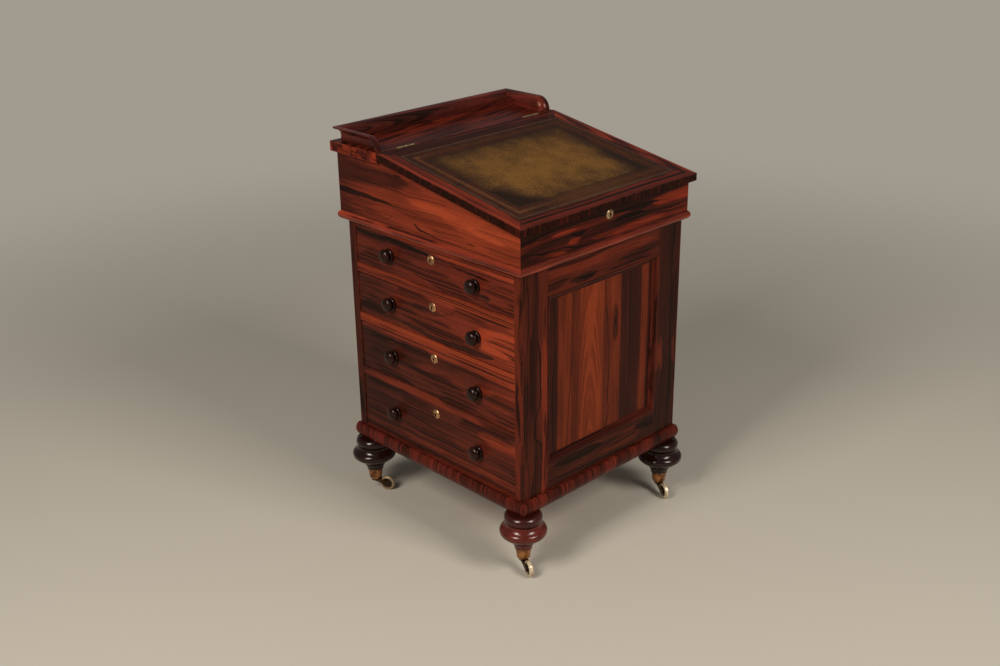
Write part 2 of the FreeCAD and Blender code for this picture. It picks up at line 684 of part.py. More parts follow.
# ---------------------------------------------------------------- feet and casters
def foot():
    """A turned foot in its own frame, z = 0 at the plinth, with a tenon above."""
    collar_foot = -FOOT_COLLAR_HEIGHT
    cove_foot = collar_foot - FOOT_COVE_HEIGHT
    widest = cove_foot - FOOT_BULB_SHOULDER
    belly_foot = widest - FOOT_BULB_BELLY
    bulb_foot = belly_foot - FOOT_BULB_TUCK
    ring_foot = bulb_foot - FOOT_RING_HEIGHT
    neck_foot = ring_foot - FOOT_NECK_HEIGHT
    rounding = FOOT_COLLAR_RADIUS - FOOT_COLLAR_ROUND
    collar_top, collar_end = (rounding, 0), (rounding, collar_foot)
    cove_top, cove_end = (FOOT_COVE_TOP_RADIUS, collar_foot), (FOOT_COVE_FOOT_RADIUS, cove_foot)
    bulb, belly_end = (FOOT_BULB_RADIUS, widest), (FOOT_BULB_BELLY_RADIUS, belly_foot)
    flank = FOOT_RING_RADIUS - FOOT_RING_ROUND
    ring_top, ring_end = (flank, bulb_foot), (flank, ring_foot)
    neck_top, neck_end = (FOOT_NECK_TOP_RADIUS, ring_foot), (FOOT_NECK_RADIUS, neck_foot)
    spigot_top = CUP_TOP_RADIUS - CUP_WALL - SPIGOT_GAP
    spigot_end = spigot_radius(neck_foot - SPIGOT_LENGTH, neck_foot)
    return turned([(0, FOOT_TENON_LENGTH), (FOOT_TENON_RADIUS, FOOT_TENON_LENGTH),
                   (FOOT_TENON_RADIUS, 0), collar_top,
                   bow(collar_top, collar_end, FOOT_COLLAR_ROUND), cove_top,
                   bow(cove_top, cove_end, -FOOT_COVE_HOLLOW), belly(bulb, cove_end),
                   belly(bulb, belly_end, leaving=True),
                   bow(belly_end, ring_top, FOOT_BULB_TUCK_ROUND),
                   bow(ring_top, ring_end, FOOT_RING_ROUND), neck_top,
                   bow(neck_top, neck_end, -FOOT_NECK_HOLLOW), (spigot_top, neck_foot),
                   (spigot_end, neck_foot - SPIGOT_LENGTH), (0, neck_foot - SPIGOT_LENGTH)])


def spigot_radius(z, top):
    """Radius of the cup's tapered socket at a height, less the spigot's gap."""
    taper = (CUP_TOP_RADIUS - CUP_FOOT_RADIUS) / CUP_HEIGHT
    return CUP_TOP_RADIUS - CUP_WALL - SPIGOT_GAP - taper * (top - z)


def caster_cup():
    """A brass cup in its own frame, z = 0 at its underside, bored for the stem."""
    rim_z = CUP_HEIGHT - CUP_RIM_HEIGHT
    taper = (CUP_TOP_RADIUS - CUP_FOOT_RADIUS) / CUP_HEIGHT
    under_rim = CUP_TOP_RADIUS - taper * CUP_RIM_HEIGHT
    socket_foot = CUP_TOP_RADIUS - CUP_WALL - taper * (CUP_HEIGHT - CUP_FLOOR)
    bore = CASTER_STEM_RADIUS + CASTER_RUNNING_GAP
    heel = (CUP_FOOT_RADIUS + taper * CUP_HEEL_HEIGHT, CUP_HEEL_HEIGHT)
    rim_low = (CUP_RIM_RADIUS - CUP_RIM_BEAD, rim_z)
    rim_high = (CUP_RIM_RADIUS - CUP_RIM_BEAD, CUP_HEIGHT)
    return turned([(bore, 0), (CUP_FOOT_RADIUS - CUP_HEEL_INSET, 0), heel, (under_rim, rim_z),
                   rim_low, bow(rim_low, rim_high, -CUP_RIM_BEAD),
                   (CUP_TOP_RADIUS - CUP_WALL, CUP_HEIGHT), (socket_foot, CUP_FLOOR),
                   (bore, CUP_FLOOR)])


def caster_fork():
    """The swivelling horn with its stem and axle, trailing along +X, z = 0 on the floor."""
    top = CASTER_HEIGHT - CASTER_SEAT_GAP
    disc_z = top - CASTER_DISC_HEIGHT
    rivet_z = CASTER_HEIGHT + CUP_FLOOR + CASTER_SEAT_GAP
    pivot = turned([(0, disc_z), (CASTER_DISC_RADIUS, disc_z), (CASTER_DISC_RADIUS, top),
                    (CASTER_STEM_RADIUS, top), (CASTER_STEM_RADIUS, rivet_z),
                    (CASTER_RIVET_RADIUS, rivet_z),
                    (CASTER_RIVET_RADIUS - CASTER_RIVET_TAPER, rivet_z + CASTER_RIVET_HEIGHT),
                    (0, rivet_z + CASTER_RIVET_HEIGHT)])
    inner = WHEEL_WIDTH / 2 + WHEEL_SIDE_GAP
    outer = inner + CASTER_CHEEK_THICKNESS
    eye = Part.makeCylinder(CASTER_EYE_RADIUS, 2 * outer, V(CASTER_TRAIL, -outer, WHEEL_RADIUS),
                            V(0, 1, 0))
    under_eye, over_eye = [(CASTER_TRAIL + CASTER_EYE_RADIUS * math.cos(math.radians(angle)),
                            WHEEL_RADIUS + CASTER_EYE_RADIUS * math.sin(math.radians(angle)))
                           for angle in (CASTER_EYE_UNDER_ANGLE, CASTER_EYE_OVER_ANGLE)]
    root_z = disc_z + CASTER_DISC_HEIGHT / 2
    heel = (-CASTER_HORN_BACK, disc_z - CASTER_HORN_HEEL)
    cheeks = prism_along_y([(-CASTER_HORN_BACK, root_z), heel,
                            bow(heel, under_eye, CASTER_HORN_HOLLOW), over_eye,
                            bow(over_eye, (CASTER_HORN_FRONT, root_z), -CASTER_HORN_CROWN)],
                           -outer, outer)
    gap = box(CASTER_TRAIL - WHEEL_RADIUS - WHEEL_RIM_GAP, CASTER_TRAIL + 2 * WHEEL_RADIUS,
              -inner, inner, 0, top)
    fork = cheeks.fuse(eye).cut(gap).fuse(pivot).removeSplitter()
    bore = Part.makeCylinder(AXLE_RADIUS + GLUE_GAP, 4 * outer,
                             V(CASTER_TRAIL, -2 * outer, WHEEL_RADIUS), V(0, 1, 0))
    head = outer + AXLE_HEAD_THICKNESS
    rivet = AXLE_HEAD_RADIUS - AXLE_HEAD_TAPER
    axle = turned([(0, -head), (rivet, -head), (AXLE_HEAD_RADIUS, -outer), (AXLE_RADIUS, -outer),
                   (AXLE_RADIUS, outer), (AXLE_HEAD_RADIUS, outer), (rivet, head), (0, head)])
    axle = moved(spun(axle, (1, 0, 0), 90), CASTER_TRAIL, 0, WHEEL_RADIUS)
    return [fork.cut(bore), axle]


def caster_wheel():
    """The wheel, trailing along +X: hub, thin web and a rounded tread."""
    half = WHEEL_WIDTH / 2
    web = WHEEL_WEB_THICKNESS / 2
    rim = WHEEL_RADIUS - WHEEL_RIM_THICKNESS
    bore = AXLE_RADIUS + CASTER_RUNNING_GAP
    shoulder = half - WHEEL_TREAD_ROUND
    form = turned([(bore, -half), (WHEEL_HUB_RADIUS, -half), (WHEEL_HUB_RADIUS, -web), (rim, -web),
                   (rim, -half), (WHEEL_RADIUS - WHEEL_TREAD_ROUND, -half),
                   (WHEEL_RADIUS, -shoulder), (WHEEL_RADIUS, shoulder),
                   (WHEEL_RADIUS - WHEEL_TREAD_ROUND, half), (rim, half), (rim, web),
                   (WHEEL_HUB_RADIUS, web), (WHEEL_HUB_RADIUS, half), (bore, half)])
    return moved(spun(form, (1, 0, 0), 90), CASTER_TRAIL, 0, WHEEL_RADIUS)


def to_caster(shape, corner):
    """Turn a caster piece to its trail and carry it under its foot."""
    x, y = FEET[corner]
    return moved(spun(shape, (0, 0, 1), CASTER_TURNS[corner]), x, y, 0)


# ---------------------------------------------------------------- desk box
def slope_z(y, below=0.0):
    """Height of the writing slope's top surface at y, less a vertical drop."""
    return SHELF_TOP_Z - (SEAM_Y - y) * math.tan(SLOPE) - below


def desk_ring(section, inner, outer):
    """A mitred ring round the desk box's footprint."""
    half_y = (DESK_BACK_Y - DESK_FRONT_Y) / 2
    centre_y = (DESK_BACK_Y + DESK_FRONT_Y) / 2
    ring = mitred_ring(section, DESK_HALF_WIDTH, half_y, inner, outer)
    return [moved(strip, 0, centre_y, DESK_Z) for strip in ring]


def desk_walls():
    """Back, left, front and right walls, mitred at the corners, their tops cut to the slope."""
    height = SHELF_TOP_Z - DESK_Z
    board = DESK_BOARD_THICKNESS
    ring = desk_ring([(-board, 0), (0, 0), (0, height), (-board, height)], -board, 0)
    rest = SLOPE_DROP + SLOPE_REST_GAP
    front, back = DESK_FRONT_Y - OVERCUT, DESK_BACK_Y + OVERCUT
    seat_y = SEAM_Y + SEAM_GAP / 2
    under = prism_along_x([(front, DESK_Z), (back, DESK_Z), (back, SHELF_Z), (seat_y, SHELF_Z),
                           (seat_y, slope_z(seat_y, rest)), (front, slope_z(front, rest))],
                          -DESK_HALF_WIDTH - OVERCUT, DESK_HALF_WIDTH + OVERCUT)
    return [wall.common(under) for wall in ring]


def desk_moulding():
    """Half-round strips round the foot of the desk box."""
    top = (0, DESK_MOULDING_HEIGHT)
    section = [(0, 0), bow((0, 0), top, -DESK_MOULDING_PROJECTION)]
    return desk_ring(section, 0, DESK_MOULDING_PROJECTION)


def desk_bottom():
    """The desk's floor, grooved underneath for the dovetail rails and the way they travel."""
    board = box(-DESK_INNER_X, DESK_INNER_X, DESK_FRONT_Y + DESK_BOARD_THICKNESS,
                DESK_BACK_Y - DESK_BOARD_THICKNESS, DESK_Z, DESK_FLOOR_Z)
    y0 = SLIDE_RAIL_Y - SLIDE_GAP
    y1 = SLIDE_RAIL_Y + SLIDE_RAIL_LENGTH + DESK_TRAVEL + SLIDE_GAP
    groove = prism_along_y(slide_rail_section(SLIDE_GAP), y0, y1)
    return board.cut(groove).cut(flipped(groove))


def shelf():
    """The fixed shelf behind the slope, let in for the hinges."""
    board = box(-SHELF_HALF_WIDTH, SHELF_HALF_WIDTH, SEAM_Y + SEAM_GAP / 2, SHELF_BACK_Y,
                SHELF_Z, SHELF_TOP_Z)
    return board.cut(hinge_room(HINGE_LEAF_THICKNESS))


def gallery():
    """Back rail and two returns that flare outward to a lip, hollow outside and full inside.

    Each return's front end turns down to the shelf in a quarter circle.
    """
    top, flare = GALLERY_HEIGHT, GALLERY_FLARE
    hollow_z = top - GALLERY_LIP - flare
    diagonal = flare * math.sqrt(0.5)
    hollow = ((flare - diagonal, hollow_z + diagonal), (flare, top - GALLERY_LIP))
    round_radius = flare + GALLERY_THICKNESS - GALLERY_TOP_WIDTH
    lip_inner = (flare - GALLERY_TOP_WIDTH, top)
    shoulder = (-GALLERY_THICKNESS, top - round_radius)
    section = [(-GALLERY_THICKNESS, 0), (0, 0), (0, hollow_z), hollow, (flare, top), lip_inner,
               bow(lip_inner, shoulder, -round_radius * (1 - math.sqrt(0.5)))]
    half_x = SHELF_HALF_WIDTH - GALLERY_INSET
    back_y = SHELF_BACK_Y - GALLERY_INSET
    turn_y = SEAM_Y + GALLERY_FRONT_INSET + GALLERY_HEIGHT
    back, left = mitred_ring(section, half_x, back_y - turn_y, -GALLERY_THICKNESS, flare)[:2]
    left = left.common(box(-2 * half_x, 0, 0, 2 * back_y, -OVERCUT, top + OVERCUT))
    end_face = outline(section, lambda a, b: V(-half_x - a, 0, b))
    end = end_face.revolve(V(0, 0, 0), V(1, 0, 0), 90)
    left = left.fuse(end).removeSplitter()
    return [moved(piece, 0, turn_y, SHELF_TOP_Z) for piece in (back, left, flipped(left))]


# ---------------------------------------------------------------- writing slope
def on_slope(shape):
    """Tilt a piece drawn level, with its seam edge on y = 0 and its top on z = 0."""
    return moved(spun(shape, (1, 0, 0), SLOPE_ANGLE), 0, SEAM_Y, SHELF_TOP_Z)


def leather_bed(depth, x_gap=0.0):
    """The leather's rectangle on the slope, sunk to a depth."""
    half = SLOPE_HALF_WIDTH - LEATHER_SIDE_MARGIN - x_gap
    return on_slope(box(-half, half, -SLOPE_LENGTH + LEATHER_END_MARGIN + x_gap,
                        -LEATHER_END_MARGIN - x_gap, -depth, 0))


def slope_board():
    """The lid board with upright edges, a bed for the leather and room for its fittings."""
    front, back = SLOPE_FRONT_Y, SLOPE_BACK_Y
    board = prism_along_x([(front, slope_z(front)), (front, slope_z(front, SLOPE_DROP)),
                           (back, slope_z(back, SLOPE_DROP)), (back, slope_z(back))],
                          -SLOPE_HALF_WIDTH, SLOPE_HALF_WIDTH)
    board = board.cut(leather_bed(LEATHER_THICKNESS + LEATHER_SINK))
    return board.cut(hinge_room(-HINGE_LEAF_THICKNESS)).cut(catch_plate())


def slope_leather():
    """The writing surface, a little below the wood around it."""
    bed = leather_bed(LEATHER_THICKNESS + LEATHER_SINK)
    return bed.cut(leather_bed(LEATHER_SINK, -OVERCUT))


def catch_plate():
    """The lock's striking plate, let into the underside of the slope over the lock."""
    half = CATCH_PLATE_LENGTH / 2
    middle_y = DESK_FRONT_Y + DESK_BOARD_THICKNESS - LOCK_DEPTH / 2
    length = (SEAM_Y - middle_y) / math.cos(SLOPE)
    return on_slope(box(-half, half, -length - CATCH_PLATE_WIDTH / 2,
                        -length + CATCH_PLATE_WIDTH / 2, -SLOPE_THICKNESS,
                        -SLOPE_THICKNESS + CATCH_PLATE_THICKNESS))


def hinge_spans():
    """The x range of each hinge."""
    return [(side * HINGE_SPACING / 2 - HINGE_LENGTH / 2, side * HINGE_SPACING / 2
             + HINGE_LENGTH / 2) for side in (-1, 1)]


def leaf_box(x0, x1, thickness):
    """A hinge leaf let into the seam edge of the shelf, or of the slope if thickness < 0."""
    edge = SEAM_Y + math.copysign(SEAM_GAP / 2, thickness)
    y0, y1 = sorted((edge, edge + thickness))
    return box(x0, x1, y0, y1, SHELF_TOP_Z - HINGE_LEAF_HEIGHT, SHELF_TOP_Z)


def hinge_room(thickness):
    """What a seam edge loses to its hinges: the leaf's bed and a hollow for the barrel."""
    cuts = []
    for x0, x1 in hinge_spans():
        barrel = Part.makeCylinder(HINGE_BARREL_RADIUS + HINGE_CLEARANCE,
                                   x1 - x0 + 2 * HINGE_CLEARANCE,
                                   V(x0 - HINGE_CLEARANCE, SEAM_Y, SHELF_TOP_Z), V(1, 0, 0))
        cuts += [leaf_box(x0, x1, thickness), barrel]
    return Part.makeCompound(cuts)


def hinge_leaves():
    """Fixed leaves with the odd knuckles, and moving leaves with the even ones and the pins."""
    fixed, moving = [], []
    pitch = HINGE_LENGTH / HINGE_KNUCKLES
    for x0, x1 in hinge_spans():
        clear = Part.makeCylinder(HINGE_BARREL_RADIUS + HINGE_CLEARANCE, x1 - x0,
                                  V(x0, SEAM_Y, SHELF_TOP_Z), V(1, 0, 0))
        leaves = [leaf_box(x0, x1, side * HINGE_LEAF_THICKNESS) for side in (1, -1)]
        parts = [[], []]
        for index in range(HINGE_KNUCKLES):
            owner = index % 2
            low = x0 + index * pitch + HINGE_CLEARANCE / 2
            length = pitch - HINGE_CLEARANCE
            barrel = Part.makeCylinder(HINGE_BARREL_RADIUS, length,
                                       V(low, SEAM_Y, SHELF_TOP_Z), V(1, 0, 0))
            side = 1 if owner == 0 else -1
            edge = SEAM_Y + side * SEAM_GAP / 2
            y0, y1 = sorted((edge, edge + side * HINGE_LEAF_THICKNESS))
            neck = box(low, low + length, y0, y1, SHELF_TOP_Z - HINGE_LEAF_HEIGHT / 2,
                       SHELF_TOP_Z - HINGE_BARREL_RADIUS / 2)
            parts[owner] += [barrel, neck]
        pin = Part.makeCylinder(HINGE_PIN_RADIUS, HINGE_LENGTH - HINGE_CLEARANCE,
                                V(x0 + HINGE_CLEARANCE / 2, SEAM_Y, SHELF_TOP_Z), V(1, 0, 0))
        hole = Part.makeCylinder(HINGE_PIN_RADIUS + HINGE_RUNNING_GAP, 2 * HINGE_LENGTH,
                                 V(x0 - HINGE_LENGTH / 2, SEAM_Y, SHELF_TOP_Z), V(1, 0, 0))
        fixed.append(leaves[0].cut(clear).multiFuse(parts[0]).cut(hole).removeSplitter())
        moving.append(leaves[1].cut(clear).multiFuse(parts[1] + [pin]).removeSplitter())
    return fixed, moving


def desk_lock():
    """The desk's lock, let into the inner face of its front wall."""
    half = DESK_LOCK_WIDTH / 2
    inner_y = DESK_FRONT_Y + DESK_BOARD_THICKNESS
    top = desk_front_top() - DESK_LOCK_TOP_GAP
    return box(-half, half, inner_y - LOCK_DEPTH, inner_y, top - DESK_LOCK_HEIGHT, top)


def desk_front_top():
    """Height of the front wall's outer top edge."""
    return slope_z(DESK_FRONT_Y, SLOPE_DROP + SLOPE_REST_GAP)


# ---------------------------------------------------------------- fitment under the shelf
def partition_places():
    """The x of every upright partition's middle, left to right."""
    first = -FITMENT_CENTRE_WIDTH / 2
    pitch = FITMENT_CENTRE_WIDTH / PIGEONHOLE_COUNT
    return [first + index * pitch for index in range(PIGEONHOLE_COUNT + 1)]


def fitment():
    """Upright partitions, and a shelf over each small drawer."""
    back = DESK_BACK_Y - DESK_BOARD_THICKNESS
    half = FITMENT_BOARD / 2
    uprights = [box(x - half, x + half, FITMENT_FRONT_Y, back, DESK_FLOOR_Z, SHELF_Z)
                for x in partition_places()]
    z = DESK_FLOOR_Z + INNER_DRAWER_OPENING
    ledge = box(-DESK_INNER_X, partition_places()[0] - half, FITMENT_FRONT_Y, back,
                z, z + FITMENT_BOARD)
    return uprights + [ledge, flipped(ledge)]


def inner_drawer():
    """The small drawer on the left, with its knob, ready in place."""
    x0 = -DESK_INNER_X + DRAWER_SIDE_PLAY
    x1 = partition_places()[0] - FITMENT_BOARD / 2 - DRAWER_SIDE_PLAY
    height = INNER_DRAWER_OPENING - DRAWER_SEAT_GAP - DRAWER_TOP_GAP
    length = FITMENT_DEPTH - INNER_DRAWER_RECESS - INNER_DRAWER_BACK_GAP
    front, body = dovetailed_box(DrawerSizes(x1 - x0, height, length, inner=True))
    handle = knob(0, height / 2, 0, INNER_KNOB_SCALE)
    front = front.cut(knob_hole(0, height / 2, 0, INNER_KNOB_SCALE))
    return [moved(piece, (x0 + x1) / 2, FITMENT_FRONT_Y + INNER_DRAWER_RECESS,
                  DESK_FLOOR_Z + DRAWER_SEAT_GAP) for piece in [front] + body + [handle]]


# ---------------------------------------------------------------- the whole desk
def pedestal_nodes():
    """Every piece of the standing pedestal."""
    frame, panel, moulding = framed_end()
    nodes = {}
    for end, at_back in (("front", False), ("back", True)):
        nodes[f"{end}_frame"] = [stand_up(part, at_back) for part in frame]
        nodes[f"{end}_panel"] = [stand_up(part, at_back) for part in panel]
        nodes[f"{end}_panel_moulding"] = [stand_up(part, at_back) for part in moulding]
    floors = drawer_floors()
    nodes["plinth_moulding"] = plinth()
    nodes["base_board"] = [box(-HALF_WIDTH + PLINTH_INNER_WIDTH, HALF_WIDTH - PLINTH_INNER_WIDTH,
                               -HALF_DEPTH + PLINTH_INNER_WIDTH, HALF_DEPTH - PLINTH_INNER_WIDTH,
                               PLINTH_Z, PLINTH_Z + BASE_BOARD_THICKNESS)]
    nodes["drawer_rails"] = drawer_rails()
    nodes["drawer_runners"] = runners()
    nodes["end_board"] = [box(END_BOARD_X, DUMMY_BACK_X, -INNER_Y, INNER_Y, PEDESTAL_Z,
                              PEDESTAL_TOP_Z)]
    nodes["dummy_rails"] = dummy_rails()
    nodes["dummy_drawer_fronts"] = [dummy_front(opening, floor)
                                    for opening, floor in zip(DRAWER_OPENINGS, floors)]
    nodes["dummy_knobs"] = [to_dummy_side(knob(side * KNOB_SPACING / 2, opening / 2, 0), floor)
                            for opening, floor in zip(DRAWER_OPENINGS, floors)
                            for side in (-1, 1)]
    nodes["dummy_escutcheons"] = [to_dummy_side(escutcheon(0, opening - KEYHOLE_DROP, 0), floor)
                                  for opening, floor in zip(DRAWER_OPENINGS, floors)]
    nodes["pedestal_top"] = [box(RAIL_DEPTH - HALF_WIDTH, END_BOARD_X, -INNER_Y, INNER_Y,
                                 PEDESTAL_TOP_Z - TOP_RAIL_HEIGHT, PEDESTAL_TOP_Z)]
    rail = prism_along_y(slide_rail_section(0), SLIDE_RAIL_Y, SLIDE_RAIL_Y + SLIDE_RAIL_LENGTH)
    nodes["slide_rails"] = [rail, flipped(rail)]
    nodes["turned_feet"] = [moved(foot(), x, y, PLINTH_Z) for x, y in FEET.values()]
    nodes["caster_cups"] = [moved(caster_cup(), x, y, CASTER_HEIGHT) for x, y in FEET.values()]
    return nodes


def drawer_nodes():
    """The pieces of each pedestal drawer, numbered from the top."""
    nodes = {}
    for index, (opening, floor) in enumerate(zip(DRAWER_OPENINGS, drawer_floors()), start=1):
        for part, shapes in pedestal_drawer(opening).items():
            nodes[f"drawer_{index}_{part}"] = [to_drawer_side(shape, floor + DRAWER_SEAT_GAP)
                                               for shape in shapes]
    return nodes


def caster_nodes():
    """Fork and wheel of every caster."""
    nodes = {}
    for corner in FEET:
        nodes[f"caster_fork_{corner}"] = [to_caster(shape, corner) for shape in caster_fork()]
        nodes[f"caster_wheel_{corner}"] = [to_caster(caster_wheel(), corner)]
    return nodes


def desk_nodes():
    """Every piece of the sliding desk box, its slope and its small drawers."""
    back, left, front, right = desk_walls()
    keyhole_z = desk_front_top() - DESK_KEYHOLE_DROP
    lock = desk_lock()
    front = front.cut(lock).cut(keyhole(0, keyhole_z, DESK_FRONT_Y - OVERCUT,
                                        DESK_FRONT_Y + DESK_BOARD_THICKNESS - LOCK_DEPTH))
    fixed, moving = hinge_leaves()
    left_drawer = inner_drawer()
    return {
        "desk_back": [back],
        "desk_sides": [left, right],
        "desk_front": [front],
        "desk_bottom": [desk_bottom()],
        "desk_base_moulding": desk_moulding(),
        "desk_shelf": [shelf()],
        "gallery": gallery(),
        "desk_lockset": [escutcheon(0, keyhole_z, DESK_FRONT_Y), lock],
        "desk_hinge_leaves": fixed,
        "pigeonhole_fitment": fitment(),
        "slope_board": [slope_board()],
        "slope_leather": [slope_leather()],
        "slope_hinge_leaves": moving,
        "slope_catch_plate": [catch_plate()],
        "inner_drawer_left": left_drawer,
        "inner_drawer_right": [flipped(piece) for piece in left_drawer],
    }


def main():
    """Build every node and write one STEP file for each."""
    os.makedirs("parts", exist_ok=True)
    nodes = {**pedestal_nodes(), **drawer_nodes(), **caster_nodes(), **desk_nodes()}
    for name, shapes in nodes.items():
        solids = [solid for shape in shapes for solid in shape.Solids]
        Part.makeCompound(solids).exportStep(f"parts/{name}.step")
        sound = all(solid.isValid() for solid in solids)
        print(f"{name}: {len(solids)} solids{'' if sound else ', NOT VALID'}")
    print(f"{len(nodes)} nodes")


if __name__ == "__main__":
    main()
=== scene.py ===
"""Finishes, fittings and studio for a rosewood davenport desk.

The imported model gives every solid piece. This script polishes each one in its own wood,
hide or brass, adds the fittings and tooling that are too fine for the solids, and sets the
desk on a pale floor under two soft lamps. Sizes are metres, in the model's own frame: the
origin is on the floor under the pedestal, +Z is up, the writer sits on the -Y side and the
drawers open to -X. The paths of the streaks in the veneers are in millimetres.
"""

import logging
import math
from dataclasses import dataclass, field, replace
from enum import Enum
from typing import Optional, Sequence, Union

import bpy
from mathutils import Matrix, Quaternion, Vector

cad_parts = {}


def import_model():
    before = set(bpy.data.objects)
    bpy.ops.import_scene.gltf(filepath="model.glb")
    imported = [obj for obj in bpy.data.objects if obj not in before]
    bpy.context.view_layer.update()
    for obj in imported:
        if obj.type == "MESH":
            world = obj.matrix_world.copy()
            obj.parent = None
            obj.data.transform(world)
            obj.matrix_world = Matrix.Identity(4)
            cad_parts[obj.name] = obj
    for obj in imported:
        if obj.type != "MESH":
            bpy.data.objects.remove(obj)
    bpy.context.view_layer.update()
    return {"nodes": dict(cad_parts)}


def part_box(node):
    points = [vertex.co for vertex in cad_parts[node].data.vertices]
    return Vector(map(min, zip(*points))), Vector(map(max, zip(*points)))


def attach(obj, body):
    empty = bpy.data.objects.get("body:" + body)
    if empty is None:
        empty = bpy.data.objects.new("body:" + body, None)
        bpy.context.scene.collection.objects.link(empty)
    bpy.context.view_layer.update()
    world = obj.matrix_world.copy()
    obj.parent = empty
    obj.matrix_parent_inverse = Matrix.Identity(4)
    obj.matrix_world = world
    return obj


LOG = logging.getLogger("davenport")
SLOPE_ANGLE = math.radians(9.77)
SEAM = Vector((0.0, 0.1365, 0.869))
FOOT_X, FOOT_Y = 0.233, 0.253
DRAWERS = range(1, 5)
MM = 0.001

Colour = tuple[float, float, float]
Number = Union["Field", float]
Place = tuple[Number, Number, Number]
Point = tuple[float, float, float]


def chart(red: int, green: int, blue: int) -> Colour:
    """A colour of the paint chart, written 0 to 255, in the linear light of the shaders."""
    parts = []
    for value in (red, green, blue):
        level = value / 255.0
        parts.append(level / 12.92 if level <= 0.04045 else ((level + 0.055) / 1.055) ** 2.4)
    return parts[0], parts[1], parts[2]


class Cut(Enum):
    """How a board lies: the axes of its grain, its width and its thickness."""

    UPRIGHT_FRONT = ("z", "x", "y")
    LEVEL_FRONT = ("x", "z", "y")
    LEVEL_SIDE = ("y", "z", "x")
    TOP_ALONG_X = ("x", "y", "z")
    TOP_ALONG_Y = ("y", "x", "z")


class Mark(Enum):
    """What a streak does to the wood that it crosses."""

    INK = "black"
    SHADE = "darker"
    GLOW = "brighter"


class Field:
    """A number that varies over a surface: one output in a finish's node tree."""

    def __init__(self, finish: "Finish", socket: bpy.types.NodeSocket) -> None:
        """Keep the output and the finish that it belongs to."""
        self.finish = finish
        self.socket = socket

    def __add__(self, other: Number) -> "Field":
        """The sum of two numbers."""
        return self.finish.number("ADD", self, other)

    def __sub__(self, other: Number) -> "Field":
        """The difference of two numbers."""
        return self.finish.number("SUBTRACT", self, other)

    def __rsub__(self, other: float) -> "Field":
        """A plain number less this one."""
        return self.finish.number("SUBTRACT", other, self)

    def __mul__(self, other: Number) -> "Field":
        """The product of two numbers."""
        return self.finish.number("MULTIPLY", self, other)

    def __truediv__(self, other: Number) -> "Field":
        """The quotient of two numbers."""
        return self.finish.number("DIVIDE", self, other)

    def size(self) -> "Field":
        """The number without its sign."""
        return self.finish.number("ABSOLUTE", self)

    def floor(self) -> "Field":
        """The whole number below."""
        return self.finish.number("FLOOR", self)

    def least(self, other: Number) -> "Field":
        """The smaller of two numbers."""
        return self.finish.number("MINIMUM", self, other)

    def most(self, other: Number) -> "Field":
        """The larger of two numbers."""
        return self.finish.number("MAXIMUM", self, other)

    def above(self, other: Number) -> "Field":
        """1 where this number is the larger one, and 0 elsewhere."""
        return self.finish.number("GREATER_THAN", self, other)

    def rise(self, low: float, high: float) -> "Field":
        """A smooth step from 0 at low to 1 at high."""
        return self.finish.step(self, low, high, "SMOOTHSTEP")

    def near(self, place: Number, reach: float) -> "Field":
        """1 at a place, falling smoothly to 0 a reach away on either side."""
        return 1.0 - (self - place).size().rise(0.0, reach)

    def swing(self, reach: float) -> "Field":
        """How far a random number lies from its middle, 0.5, times a reach."""
        return (self - 0.5) * reach


